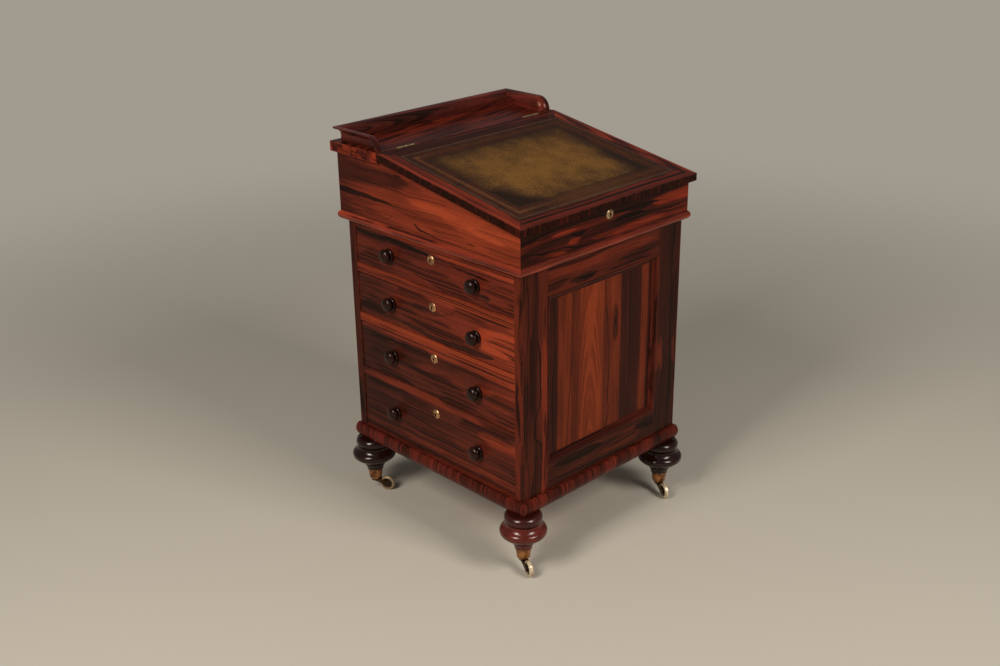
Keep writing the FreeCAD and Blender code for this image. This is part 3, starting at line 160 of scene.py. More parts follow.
class Finish:
    """A material's node tree, laid one node at a time over the piece's own coordinates."""

    def __init__(self, name: str) -> None:
        """Start an empty material of this name."""
        self.material = bpy.data.materials.new(name)
        self.material.use_nodes = True
        self.tree = self.material.node_tree
        self.tree.nodes.clear()
        coordinates = self.tree.nodes.new("ShaderNodeTexCoord")
        split = self.tree.nodes.new("ShaderNodeSeparateXYZ")
        self.tree.links.new(coordinates.outputs["Object"], split.inputs[0])
        self.axes = {axis: Field(self, split.outputs[index]) for index, axis in enumerate("xyz")}

    def feed(self, socket: bpy.types.NodeSocket, value: object) -> None:
        """Link a field or an output to an input, or write a plain value into it."""
        if isinstance(value, Field):
            self.tree.links.new(value.socket, socket)
        elif isinstance(value, bpy.types.NodeSocket):
            self.tree.links.new(value, socket)
        else:
            socket.default_value = value

    def number(self, step: str, first: Number, second: Number = 0.0) -> Field:
        """One step of arithmetic.

        Args:
            step: the operation's name.
            first: the first number.
            second: the second number, where the operation has one.

        Returns:
            The result.
        """
        node = self.tree.nodes.new("ShaderNodeMath")
        node.operation = step
        self.feed(node.inputs[0], first)
        self.feed(node.inputs[1], second)
        return Field(self, node.outputs[0])

    def step(self, value: Field, low: float, high: float, how: str = "LINEAR") -> Field:
        """A step of a number, from 0 at low to 1 at high, straight or smooth."""
        node = self.tree.nodes.new("ShaderNodeMapRange")
        node.interpolation_type = how
        node.clamp = True
        self.feed(node.inputs["Value"], value)
        node.inputs["From Min"].default_value = low
        node.inputs["From Max"].default_value = high
        return Field(self, node.outputs[0])

    def course(self, value: Field, points: Sequence[tuple[float, float]]) -> Field:
        """A smooth line through given points, level beyond its two ends.

        Args:
            value: the number along the line.
            points: pairs of that number and the height there, from the lowest number up.

        Returns:
            The height of the line.
        """
        start, end = points[0][0], points[-1][0]
        heights = [height for _, height in points]
        low = min(heights)
        span = max(max(heights) - low, 1e-6)
        node = self.tree.nodes.new("ShaderNodeFloatCurve")
        self.feed(node.inputs["Value"], self.step(value, start, end))
        curve = node.mapping.curves[0]
        placed = [((number - start) / (end - start), (height - low) / span)
                  for number, height in points]
        curve.points[0].location = placed[0]
        curve.points[-1].location = placed[-1]
        for spot in placed[1:-1]:
            curve.points.new(*spot)
        for point in curve.points:
            point.handle_type = "AUTO_CLAMPED"
        node.mapping.update()
        return Field(self, node.outputs[0]) * span + low

    @property
    def xyz(self) -> tuple[Field, Field, Field]:
        """The place that is being shaded, in metres."""
        return self.axes["x"], self.axes["y"], self.axes["z"]

    def join(self, x: Number, y: Number, z: Number) -> bpy.types.NodeSocket:
        """Three numbers as one place."""
        node = self.tree.nodes.new("ShaderNodeCombineXYZ")
        for socket, value in zip(node.inputs, (x, y, z)):
            self.feed(socket, value)
        return node.outputs[0]

    def noise(self, dimensions: str, socket: str, place: object, detail: float,
              rough: float) -> Field:
        """Random hills and hollows, one unit apart, about 0.5.

        Args:
            dimensions: 1D or 3D.
            socket: the input that takes the place.
            place: where to read them.
            detail: how many finer layers they have.
            rough: how strong the finer layers are.

        Returns:
            Their value.
        """
        node = self.tree.nodes.new("ShaderNodeTexNoise")
        node.noise_dimensions = dimensions
        self.feed(node.inputs[socket], place)
        node.inputs["Scale"].default_value = 1.0
        node.inputs["Detail"].default_value = detail
        node.inputs["Roughness"].default_value = rough
        return Field(self, node.outputs[0])

    def cloud(self, x: Number, y: Number, z: Number, detail: float = 2.0,
              rough: float = 0.5) -> Field:
        """Soft random clouds one unit across, about 0.5."""
        return self.noise("3D", "Vector", self.join(x, y, z), detail, rough)

    def stripes(self, value: Field, detail: float = 1.0, rough: float = 0.5) -> Field:
        """Random stripes along one number, one unit apart, about 0.5."""
        return self.noise("1D", "W", value, detail, rough)

    def lot(self, value: Field) -> Field:
        """A number from 0 to 1 drawn for each value, the same each time."""
        node = self.tree.nodes.new("ShaderNodeTexWhiteNoise")
        node.noise_dimensions = "1D"
        self.feed(node.inputs["W"], value)
        return Field(self, node.outputs["Value"])

    def choose(self, factor: Field, under: Number, over: Number) -> Field:
        """One number where the factor is 0, the other where it is 1."""
        node = self.tree.nodes.new("ShaderNodeMix")
        node.data_type = "FLOAT"
        self.feed(node.inputs[0], factor)
        self.feed(node.inputs[2], under)
        self.feed(node.inputs[3], over)
        return Field(self, node.outputs[0])

    def paint(self, factor: Number, under: object, over: object,
              how: str = "MIX") -> bpy.types.NodeSocket:
        """One colour laid over another.

        Args:
            factor: how much of the upper colour shows, 0 to 1.
            under: the lower colour.
            over: the upper colour.
            how: the way they mix.

        Returns:
            The mixed colour.
        """
        node = self.tree.nodes.new("ShaderNodeMix")
        node.data_type = "RGBA"
        node.blend_type = how
        self.feed(node.inputs[0], factor)
        for socket, value in ((node.inputs[6], under), (node.inputs[7], over)):
            if isinstance(value, tuple):
                value = (*value, 1.0)
            self.feed(socket, value)
        return node.outputs[2]

    def dim(self, colour: object, level: Field) -> bpy.types.NodeSocket:
        """A colour made darker or brighter by a number."""
        return self.paint(1.0, colour, self.join(level, level, level), how="MULTIPLY")

    def close(self, colour: object, gloss: Number, height: Optional[Field] = None,
              depth: float = 0.0002, **constants: object) -> bpy.types.Material:
        """End the tree in a surface shader.

        Args:
            colour: the base colour.
            gloss: the roughness.
            height: a relief from 0 to 1, if there is one.
            depth: how deep that relief is, in metres.
            constants: values of the shader's other sockets, by their names with _ for spaces.

        Returns:
            The finished material.
        """
        shader = self.tree.nodes.new("ShaderNodeBsdfPrincipled")
        output = self.tree.nodes.new("ShaderNodeOutputMaterial")
        self.feed(shader.inputs["Base Color"],
                  (*colour, 1.0) if isinstance(colour, tuple) else colour)
        self.feed(shader.inputs["Roughness"], gloss)
        for name, value in constants.items():
            shader.inputs[name.replace("_", " ")].default_value = value
        if height is not None:
            bump = self.tree.nodes.new("ShaderNodeBump")
            bump.inputs["Strength"].default_value = 1.0
            bump.inputs["Distance"].default_value = depth
            self.feed(bump.inputs["Height"], height)
            self.tree.links.new(bump.outputs[0], shader.inputs["Normal"])
        self.tree.links.new(shader.outputs[0], output.inputs["Surface"])
        return self.material


# ------------------------------------------------------------------ the finishes
# Lines to a ring of the log, and how wide and how dark the black ones are.
FINE_RINGS, HAIR_RINGS, THIN_RINGS, HEAVY_RINGS = 5.3, 23.0, 3.1, 1.3
THIN_REACH, HEAVY_EDGE, HEAVY_DEPTH = 0.14, 0.035, 0.92

# How much of the rings' wandering is wide and how much small.
ROAM_SHARE, RIPPLE_SHARE = 3.0, 0.4

# Where one ground gives way to the next, where a thin line breaks and where a pore opens.
DARK_TO_WARM, WARM_TO_LIGHT = (0.12, 0.52), (0.48, 0.92)
BREAK_STEP, PORE_STEP = (0.44, 0.56), (0.60, 0.72)

# How strongly a streak brightens or darkens the ground, and how much of its blur lies outside.
GLOW_LIFT, SHADE_DROP, BLUR_OUTSIDE = 0.42, 0.45, 0.3

# How far apart in the log the blocks of a banded edge are cut.
BLOCK_SPREAD = 9.0

# Metres from an edge over which its polish is rubbed and a highlight is painted, and how deep each
# relief is.
RUBBED_AND_HIGHLIT_EDGE = (0.0003, 0.0016)
PORE_DEPTH, GRAIN_DEPTH, CAST_DEPTH, TOOLING_DEPTH = 0.00005, 0.00008, 0.00005, 0.00022


@dataclass(frozen=True)
class Layer:
    """Random clouds drawn out along a grain.

    along and across are how many lie in a metre with the grain and across it. detail is how
    many finer clouds they carry, and rough how strong those are.
    """

    along: float
    across: float
    detail: float = 2.0
    rough: float = 0.5

    def lay(self, finish: Finish, place: Place, shift: Place = (0.0, 0.0, 0.0)) -> Field:
        """Lay the clouds over a board.

        Args:
            finish: the node tree to lay them in.
            place: metres along the grain, across it and into the board.
            shift: where in the clouds to start, so that no two boards are alike.

        Returns:
            The clouds, about 0.5.
        """
        counts = (self.along, self.across, self.across)
        spots = [metres * count + start for metres, count, start in zip(place, counts, shift)]
        return finish.cloud(*spots, self.detail, self.rough)


# The layers of a board of rosewood, from the widest drift of its rings to its pores.
ROAM = Layer(3.2, 9.0)
PATCH = Layer(4.5, 16.0, detail=1.0)
BREAKS = Layer(6.0, 30.0, detail=1.0)
RIPPLE = Layer(17.0, 60.0)
FIBRE = Layer(30.0, 900.0, detail=1.0)
PORES = Layer(110.0, 2400.0, detail=0.0)

# How far a streak strays from its path, and how its edges fray.
STRAY, STRAY_REACH = Layer(26.0, 12.0), 0.006
FRAY, FRAY_REACH = Layer(130.0, 40.0), 0.0018

# The layers of plain wood, of brass, of handled polish, and of rubbed edges with their painted
# highlight.
PLAIN_ROAM = Layer(2.5, 8.0)
PLAIN_FIBRE = Layer(25.0, 700.0)
PLAIN_STAIN = Layer(5.0, 9.0, detail=3.0)
BRASS_CAST = Layer(60.0, 60.0, detail=3.0)
BRASS_SPECK = Layer(420.0, 420.0)
BRASS_SCUFF = Layer(240.0, 240.0, detail=3.0)
HANDLING = Layer(14.0, 14.0, detail=3.0)
EDGE_RUB_AND_GLINT = Layer(55.0, 55.0)

# The layers of the writing hide.
HIDE_MOTTLE = Layer(26.0, 26.0, detail=4.0, rough=0.62)
HIDE_DRIFT = Layer(7.0, 7.0)
HIDE_SPECK = Layer(230.0, 230.0, rough=0.6)
HIDE_GRAIN = Layer(900.0, 900.0)


@dataclass(frozen=True)
class Streak:
    """One streak in a veneer, given as a line that swells and thins.

    path holds points of (along the grain, across it, half the streak's width) in millimetres,
    in order along the grain. A width of nothing ends the streak; any other runs off the board.
    soft is the width of its blurred edge, and depth how strong it is.
    """

    mark: Mark
    path: tuple[Point, ...]
    soft: float = 0.9
    depth: float = 1.0

    def cover(self, finish: Finish, along: Field, across: Field) -> Field:
        """How much of the streak lies at a place, 0 to 1."""
        middle = finish.course(along, [(a * MM, c * MM) for a, c, _ in self.path])
        half = finish.course(along, [(a * MM, h * MM) for a, _, h in self.path])
        inside = half - (across - middle).size()
        blur = self.soft * MM
        return inside.rise(blur * -BLUR_OUTSIDE, blur * (1.0 - BLUR_OUTSIDE)) * self.depth


def ink(*path: Point, **edge: float) -> Streak:
    """A black streak."""
    return Streak(Mark.INK, path, **edge)


def shade(*path: Point, **edge: float) -> Streak:
    """A darker streak."""
    return Streak(Mark.SHADE, path, **edge)


def glow(*path: Point, **edge: float) -> Streak:
    """A brighter streak."""
    return Streak(Mark.GLOW, path, **edge)


Marks = dict[Mark, Field]


def lay_streaks(finish: Finish, streaks: Sequence[Streak], along: Field, across: Field) -> Marks:
    """Lay a veneer's streaks, each a little ragged.

    Args:
        finish: the node tree to lay them in.
        streaks: the streaks.
        along: metres along the grain.
        across: metres across it.

    Returns:
        How strong each kind of mark is at a place.
    """
    face = (along, across, 0.0)
    stray = STRAY.lay(finish, face, (0.0, 0.0, 2.0))
    fray = FRAY.lay(finish, face, (0.0, 0.0, 5.0))
    place = across + stray.swing(STRAY_REACH) + fray.swing(FRAY_REACH)
    laid = {mark: across * 0.0 for mark in Mark}
    for streak in streaks:
        laid[streak.mark] = laid[streak.mark].most(streak.cover(finish, along, place))
    return laid


def both_marks(one: Marks, other: Marks, share: Field) -> Marks:
    """The marks of one veneer where share is 0, and of another where it is 1."""
    finish = share.finish
    return {mark: finish.choose(share, one[mark], other[mark]) for mark in Mark}


@dataclass(frozen=True)
class Rosewood:
    """French-polished rosewood, lined along the log's rings.

    light, warm and dark are its grounds and ink its black. ring is a ring's width. heart is
    where the middle of the log lies, across the board and behind its face; a heart close
    behind the face gives tall arches, and one far to the side gives straight stripes. lean is
    how fast the heart leaves the face along the grain, and wander how far the rings stray.

    black is the share of heavy black figure, and lines is how strong the thin black lines are.
    broad, patch, fine, hair and fibre are how much each layer sways the ground, from the wide
    bands to the single fibres. gloss is the polish's roughness, shine and glow are how
    strongly and in what colour it mirrors, and coat is the lacquer over it.
    """

    light: Colour = chart(134, 52, 28)
    warm: Colour = chart(94, 35, 20)
    dark: Colour = chart(48, 19, 13)
    ink: Colour = chart(9, 5, 4)
    ring: float = 0.016
    black: float = 0.24
    lines: float = 0.85
    broad: float = 0.8
    patch: float = 0.44
    fine: float = 0.42
    hair: float = 0.44
    fibre: float = 0.28
    heart: tuple[float, float] = (0.0, 0.05)
    lean: float = 0.06
    wander: float = 0.012
    seed: float = 0.0
    gloss: float = 0.30
    shine: float = 0.10
    coat: float = 0.0
    glow: Colour = (1.0, 0.56, 0.44)

    def rings(self, finish: Finish, place: Place, apart: Field) -> Field:
        """How many rings lie between the log's heart and a place in the board.

        Args:
            finish: the node tree to lay them in.
            place: metres along the grain, across it and into the board.
            apart: a number that sets one board of the piece apart from the next.

        Returns:
            The number of rings, with its parts.
        """
        along, across, depth = place
        roam = ROAM.lay(finish, place, (self.seed, apart * 13.0, self.seed))
        ripple = RIPPLE.lay(finish, place, (apart, self.seed, 0.0))
        over = across - self.heart[0] + roam.swing(self.wander * ROAM_SHARE) \
            + ripple.swing(self.wander * RIPPLE_SHARE)
        behind = depth + self.heart[1] + along * self.lean
        radius = finish.number("SQRT", over * over + behind * behind)
        return radius / self.ring + apart * 7.31 + self.seed * 3.7

    def figure(self, finish: Finish, along: Number, across: Number, depth: Number,
               shift: Number = 0.0, marks: Optional[Marks] = None,
               tone: Number = 0.5) -> tuple[bpy.types.NodeSocket, Field]:
        """The wood's figure at a place in the board.

        Args:
            finish: the node tree to lay it in.
            along: metres along the grain.
            across: metres across the board.
            depth: metres into the board.
            shift: a number that sets one board of the piece apart from the next.
            marks: the streaks laid on it, if it has any.
            tone: its middle tone, 0 dark to 1 bright.

        Returns:
            The colour, and a relief from 0 to 1 for the open pores.
        """
        nought = finish.axes["x"] * 0.0
        along, across, depth, apart = (nought + value for value in (along, across, depth, shift))
        place = (along, across, depth)
        rings = self.rings(finish, place, apart)
        bands = finish.stripes(rings)
        fine = finish.stripes(rings * FINE_RINGS, detail=2.0, rough=0.6)
        hair = finish.stripes(rings * HAIR_RINGS)
        fibre = FIBRE.lay(finish, place)
        patch = PATCH.lay(finish, place, (apart * 5.0, self.seed, 0.0))
        level = bands.swing(self.broad) + patch.swing(self.patch) + fine.swing(self.fine) \
            + hair.swing(self.hair) + fibre.swing(self.fibre) + tone
        if marks:
            level = level + marks[Mark.GLOW] * GLOW_LIFT - marks[Mark.SHADE] * SHADE_DROP
        colour = finish.paint(level.rise(*DARK_TO_WARM), self.dark, self.warm)
        colour = finish.paint(level.rise(*WARM_TO_LIGHT), colour, self.light)

        broken = BREAKS.lay(finish, place, (3.0, apart * 3.0, 0.0))
        thin = finish.stripes(rings * THIN_RINGS + 40.0).near(0.5, THIN_REACH)
        thin = thin * broken.rise(*BREAK_STEP) * self.lines
        heavy = finish.stripes(rings * HEAVY_RINGS + 90.0, detail=2.0) \
            + fibre.swing(0.04) + patch.swing(0.25)
        black = thin.most((1.0 - heavy.rise(self.black, self.black + HEAVY_EDGE)) * HEAVY_DEPTH)
        if marks:
            black = black.most(marks[Mark.INK] * (fine.swing(0.35) + 0.90))
        colour = finish.paint(black, colour, self.ink)
        pores = PORES.lay(finish, place).rise(*PORE_STEP)
        colour = finish.paint(pores * 0.35, colour, self.ink)
        return colour, 1.0 - pores * 0.5

    def polish(self, finish: Finish, colour: object, relief: Field) -> bpy.types.Material:
        """Close a tree in this wood's polish, a little uneven from handling."""
        haze = HANDLING.lay(finish, finish.xyz)
        return finish.close(colour, haze.swing(0.16) + self.gloss, relief, PORE_DEPTH,
                            Specular_IOR_Level=self.shine, Specular_Tint=(*self.glow, 1.0),
                            Coat_Weight=self.coat, Coat_Roughness=0.12)


@dataclass(frozen=True)
class PlainWood:
    """Waxed or bare wood of the inside, straight in the grain."""

    light: Colour = chart(186, 144, 96)
    dark: Colour = chart(136, 94, 56)
    ring: float = 0.007
    heart: tuple[float, float] = (0.07, 0.10)
    lean: float = 0.03
    wander: float = 0.02
    seed: float = 0.0
    gloss: float = 0.55

    def material(self, name: str, cut: Cut) -> bpy.types.Material:
        """Boards of this wood, all lying the same way."""
        finish = Finish(name)
        along, across, depth = place = tuple(finish.axes[axis] for axis in cut.value)
        roam = PLAIN_ROAM.lay(finish, place, (self.seed, 0.0, 0.0))
        over = across + self.heart[0] + roam.swing(self.wander)
        behind = depth + self.heart[1] + along * self.lean
        radius = finish.number("SQRT", over * over + behind * behind)
        rings = finish.stripes(radius / self.ring + self.seed, detail=2.0, rough=0.6)
        fibre = PLAIN_FIBRE.lay(finish, place)
        tone = (rings * 0.7 + fibre * 0.3).rise(0.36, 0.62)
        stain = PLAIN_STAIN.lay(finish, place, (0.0, 0.0, self.seed)).rise(0.35, 0.70)
        colour = finish.paint(tone, self.dark, self.light)
        colour = finish.paint((1.0 - stain) * 0.35, colour, self.dark)
        return finish.close(colour, fibre.swing(0.15) + self.gloss, fibre, GRAIN_DEPTH,
                            Specular_IOR_Level=0.35)


@dataclass(frozen=True)
class Brass:
    """Cast or rolled brass, handled bright in patches and dull and grimy between them."""

    bright: Colour = chart(200, 168, 124)
    dull: Colour = chart(128, 96, 62)
    grime: Colour = chart(52, 36, 24)
    wear: float = 0.5
    gloss: float = 0.34
    metal: float = 0.9
    seed: float = 0.0

    def material(self, name: str) -> bpy.types.Material:
        """This brass as a material."""
        finish = Finish(name)
        broad = BRASS_CAST.lay(finish, finish.xyz, (self.seed, 0.0, 0.0))
        small = BRASS_SPECK.lay(finish, finish.xyz, (0.0, self.seed, 0.0))
        mixed = broad * 0.6 + small * 0.4
        colour = finish.paint(mixed.rise(self.wear - 0.12, self.wear + 0.10), self.dull,
                              self.bright)
        colour = finish.paint((1.0 - mixed).rise(0.56, 0.70) * 0.8, colour, self.grime)
        return finish.close(colour, mixed.swing(-0.5) + self.gloss, small, CAST_DEPTH,
                            Metallic=self.metal)


DESK_BRASS = Brass(bright=chart(190, 158, 122), dull=chart(122, 92, 62), wear=0.48, gloss=0.36)


# ------------------------------------------------------------------ shared handling
def dress(node: bpy.types.Object, material: bpy.types.Material) -> None:
    """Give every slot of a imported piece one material."""
    if not node.material_slots:
        node.data.materials.append(material)
    for slot in node.material_slots:
        slot.material = material


def edge_line(distance: Field, width: float) -> Field:
    """1 on a thin line where a distance is nought, for a joint between two veneers."""
    return 1.0 - distance.size().rise(width * 0.4, width)


def banding(finish: Finish, run: Field, block: float, row: Field,
            joint: float) -> tuple[Field, Field]:
    """Short blocks of veneer laid side by side.

    Args:
        finish: the node tree.
        run: metres along the band.
        block: how long each block is.
        row: a number that sets one band's blocks apart from the next band's.
        joint: how wide the joints are, as a share of a block.

    Returns:
        A number from 0 to 1 drawn for each block, and 1 on the joints between them.
    """
    place = run / block
    number = place.floor()
    return finish.lot(number + row), edge_line((place - number - 0.5).size() - 0.5, joint)


def arris(finish: Finish, low: Vector, high: Vector) -> Field:
    """Metres from a place on a box's faces to the nearest of its edges.

    Args:
        finish: the node tree.
        low: the box's lowest corner.
        high: its highest corner.

    Returns:
        The second smallest of the distances to the three pairs of faces.
    """
    gaps = []
    for index, axis in enumerate("xyz"):
        place = finish.axes[axis]
        gaps.append((place - low[index]).size().least((place - high[index]).size()))
    first, second, third = gaps
    return first.least(second).most(first.most(second).least(third))


def rub_and_highlight_edge(finish: Finish, colour: object, distance: Field, over: Colour) -> bpy.types.NodeSocket:
    """Wear the polish thin along an edge, here and there, and paint a highlight on the arris."""
    luck = EDGE_RUB_AND_GLINT.lay(finish, finish.xyz).rise(0.40, 0.62)
    return finish.paint((1.0 - distance.rise(*RUBBED_AND_HIGHLIT_EDGE)) * luck * 0.55, colour, over)


class Repeat:
    """A geometry-node tree that repeats a small shape, laid one node at a time."""

    def __init__(self, name: str) -> None:
        """Start a tree that takes a mesh and gives a mesh."""
        self.group = bpy.data.node_groups.new(name, "GeometryNodeTree")
        for side in ("INPUT", "OUTPUT"):
            self.group.interface.new_socket("Geometry", in_out=side,
                                            socket_type="NodeSocketGeometry")
        self.start = self.group.nodes.new("NodeGroupInput")
        self.end = self.group.nodes.new("NodeGroupOutput")
        self.names: dict[str, str] = {}

    def size(self, name: str, value: float) -> bpy.types.NodeSocket:
        """A named size of the tree, with its usual value."""
        entry = self.group.interface.new_socket(name, in_out="INPUT",
                                                socket_type="NodeSocketFloat")
        entry.default_value = value
        self.names[name] = entry.identifier
        return self.start.outputs[name]

    def node(self, kind: str, feeds: Optional[dict] = None,
             **settings: object) -> bpy.types.Node:
        """One node of the tree.

        Args:
            kind: the node's type.
            feeds: what goes into its inputs, by name or number.
            settings: its own settings.

        Returns:
            The node.
        """
        node = self.group.nodes.new(kind)
        for name, value in settings.items():
            setattr(node, name, value)
        for key, value in (feeds or {}).items():
            if isinstance(value, bpy.types.NodeSocket):
                self.group.links.new(value, node.inputs[key])
            else:
                node.inputs[key].default_value = value
        return node

    def finish(self, instances: bpy.types.NodeSocket, material: bpy.types.Material) -> None:
        """Make the repeated shapes real and give them their material."""
        real = self.node("GeometryNodeRealizeInstances", {"Geometry": instances})
        done = self.node("GeometryNodeSetMaterial", {"Geometry": real.outputs[0]})
        done.inputs["Material"].default_value = material
        self.group.links.new(done.outputs[0], self.end.inputs[0])

    def grow(self, name: str, seed_mesh: bpy.types.Mesh, sizes: dict[str, float],
             material: bpy.types.Material, turn: Matrix = Matrix()) -> bpy.types.Object:
        """Run the tree once and keep the plain mesh it makes.

        Args:
            name: the new piece's name.
            seed_mesh: the mesh that goes in.
            sizes: the tree's sizes that differ from the usual ones.
            material: the piece's material.
            turn: where the finished mesh goes.

        Returns:
            The new piece, with its place in its mesh.
        """
        holder = bpy.data.objects.new(f"{name}_seed", seed_mesh)
        bpy.context.scene.collection.objects.link(holder)
        modifier = holder.modifiers.new(name, "NODES")
        modifier.node_group = self.group
        for size, value in sizes.items():
            modifier[self.names[size]] = value
        graph = bpy.context.evaluated_depsgraph_get()
        mesh = bpy.data.meshes.new_from_object(holder.evaluated_get(graph))
        holder.modifiers.clear()
        bpy.data.objects.remove(holder)
        mesh.name = name
        mesh.transform(turn)
        mesh.materials.clear()
        mesh.materials.append(material)
        piece = bpy.data.objects.new(name, mesh)
        bpy.context.scene.collection.objects.link(piece)
        return piece


# ------------------------------------------------------------------ the sub-assemblies
@dataclass
class Pedestal:
    """The framed pedestal, its mouldings and its rails.

    Tones run from 0 dark to 1 bright. rail_tones are (y, tone) along the drawers' rails,
    rail_changes are (height, change) of single rails, and the panel's bands are (x, tone)
    across the panel; from x = 0.155 on they darken it to a painted shadow along its +x edge.
    """

    panel_half_width: float = 0.177
    panel_face: float = 0.272
    panel_middle: float = 0.44
    joint_line: float = 0.0006
    joint_depth: float = 0.8
    frame_edge: float = 0.0004
    rail_tone: float = 0.44
    stile_tone: float = 0.46
    edge_change: float = 0.06
    back_edge_change: float = -0.28
    block: float = 0.043
    block_tone: float = 0.30
    block_spread: float = 0.36
    rail_pitch: float = 0.06
    rail_reach: float = 0.03
    # Below these heights the rails are darkened, a painted shadow along the bottom rail under the
    # lowest drawer.
    lowest_rail: tuple[float, float] = (0.19, 0.21)
    lowest_rail_painted_shadow: float = -0.55
    rail_tones: tuple[tuple[float, float], ...] = ((-0.25, 0.66), (0.0, 0.52), (0.25, 0.36))
    rail_changes: tuple[tuple[float, float], ...] = ((0.463, 0.22), (0.328, -0.12))
    stile_wood: Rosewood = Rosewood(
        light=chart(116, 43, 23), warm=chart(84, 31, 18), dark=chart(48, 19, 12), ring=0.018,
        black=0.08, broad=0.45, heart=(0.6, 0.03), lean=0.012, wander=0.014, seed=2.3)
    panel_wood: Rosewood = Rosewood(
        light=chart(130, 53, 26), warm=chart(98, 38, 20), dark=chart(46, 18, 12), ring=0.015,
        black=0.03, broad=0.16, fine=0.24, lines=0.35, heart=(-0.034, 0.030), lean=0.07,
        wander=0.006, seed=5.1)
    moulding_wood: Rosewood = Rosewood(
        light=chart(96, 35, 22), warm=chart(68, 25, 17), dark=chart(42, 17, 12), ring=0.010,
        black=0.15, heart=(0.3, 0.1), lean=0.0, seed=1.7)
    rail_wood: Rosewood = Rosewood(
        light=chart(150, 60, 31), warm=chart(114, 43, 24), dark=chart(74, 28, 18), ring=0.012,
        black=0.10, heart=(0.25, 0.05), lean=0.0, wander=0.006, seed=8.8)
    plinth_wood: Rosewood = Rosewood(
        light=chart(126, 44, 28), warm=chart(90, 31, 21), dark=chart(38, 16, 12), ring=0.008,
        black=0.18, heart=(0.2, 0.1), lean=0.0, wander=0.006, seed=3.9)
    stile_streaks: tuple[Streak, ...] = (
        shade((178, -229, 28), (237, -227, 31), (296, -226, 31.5), (328, -237, 19),
              (374, -233, 25), (419, -228, 30.5), (501, -229, 29.5), (556, -233, 25),
              (692, -232, 26), soft=5, depth=0.32),
        ink((178, -203, 1.2), (237, -198, 1.6), (296, -196, 2.6), (328, -217, 3),
            (374, -209, 1.6), (419, -198.5, 2.0), (501, -200, 2.4), (556, -208.5, 1.8),
            (692, -206.5, 1.2)),
        ink((178, -232, 1.0), (260, -236, 2.0), (330, -244, 1.2), (420, -236, 2.6),
            (500, -238, 1.2), (600, -233, 2.4), (692, -238, 1.0), depth=0.6),
        ink((178, -218, 0.6), (300, -213, 1.0), (420, -216, 0.6), (560, -222, 1.1),
            (692, -219, 0.5), depth=0.7),
        glow((190, -188, 9), (300, -186, 8), (460, -188, 10), (555, -188, 0), soft=6),
        shade((178, 214, 38), (330, 214, 38), (378, 212, 20), (430, 214, 34), (692, 214, 38),
              soft=10, depth=0.85),
        glow((330, 200, 0), (378, 198, 7), (440, 196, 0), soft=5, depth=0.9),
        ink((178, 226, 2.0), (360, 232, 5), (520, 224, 2.2), (692, 230, 4), depth=0.85),
    )
    rail_streaks: tuple[Streak, ...] = (
        ink((-177, 651, 0.8), (-102, 646.5, 1.0), (-80, 644, 3.0), (-50, 640, 5.0),
            (-32, 642, 1.2), (60, 648, 0.8), (157, 653, 0.7), depth=0.9),
        shade((-120, 642, 0), (-66, 641, 9), (-20, 643, 0), soft=5),
        glow((-177, 668, 14), (0, 668, 14), (120, 672, 10), (177, 670, 0), soft=9, depth=0.55),
        ink((-166, 232, 2), (-120, 231, 9), (-60, 230, 11), (-20, 229, 8), (3, 227, 0), soft=2.5,
            depth=0.92),
        glow((-20, 206, 0), (40, 210, 12), (100, 214, 19), (134, 214, 0), soft=7, depth=0.6),
        shade((-177, 215, 40), (177, 215, 40), soft=12, depth=0.40),
        ink((-170, 201, 1.6), (-60, 195, 2.6), (66, 187.5, 3.4), (125, 181, 2), depth=0.9),
        ink((104, 226, 0), (130, 225, 10), (160, 223, 13), (177, 222, 12), soft=3, depth=0.9),
    )
    panel_streaks: tuple[Streak, ...] = (
        ink((260, -108.8, 1.2), (360, -102, 1.1), (465, -95.2, 1.2), (560, -92, 0.9),
            (619, -90.6, 0.9)),
        ink((255, 20.5, 1.3), (262, 20.7, 1.4), (301, 27.5, 1.3), (346, 23, 1.5),
            (401, 26.2, 1.3), (501, 20.7, 1.4), (578, 11.6, 1.1), (619, 9.4, 1)),
        ink((255, 129.8, 1.0), (440, 130.6, 1.2), (619, 129.4, 1.0)),
        ink((255, 66, 0.9), (380, 63, 1.2), (505, 65, 1.6), (619, 62, 0.9), depth=0.8),
        ink((490, 45.7, 0), (505, 45.7, 3.2), (521, 45.7, 0), soft=1.5, depth=0.85),
        shade((450, 45, 0), (505, 45.7, 10), (560, 44, 0), soft=6, depth=0.7),
        ink((255, -68, 0.8), (400, -66, 1.0), (619, -70, 0.7), depth=0.7),
        ink((255, -150, 1.4), (380, -154, 2.6), (500, -148, 1.6), (619, -152, 2.2), depth=0.75),
        ink((255, 92, 1.2), (430, 96, 2.4), (619, 90, 1.4), depth=0.6),
        glow((290, -34, 4), (365, -34, 17), (470, -32, 22), (619, -30, 20), soft=16, depth=0.6),
    )
    # Bands of tone across the panel; the drop from x = 0.155 on is a painted shadow along its +x
    # edge.
    panel_bands_and_edge_shadow: tuple[tuple[float, float], ...] = (
        (-0.177, 0.20), (-0.166, 0.12), (-0.142, 0.16), (-0.134, 0.55), (-0.100, 0.62),
        (-0.092, 0.40), (-0.074, 0.44), (-0.066, 0.76), (-0.020, 0.84), (0.004, 0.72),
        (0.012, 0.42), (0.026, 0.46), (0.034, 0.56), (0.058, 0.52), (0.068, 0.16),
        (0.096, 0.10), (0.124, 0.14), (0.132, 0.54), (0.149, 0.58), (0.155, 0.16), (0.177, 0.10))

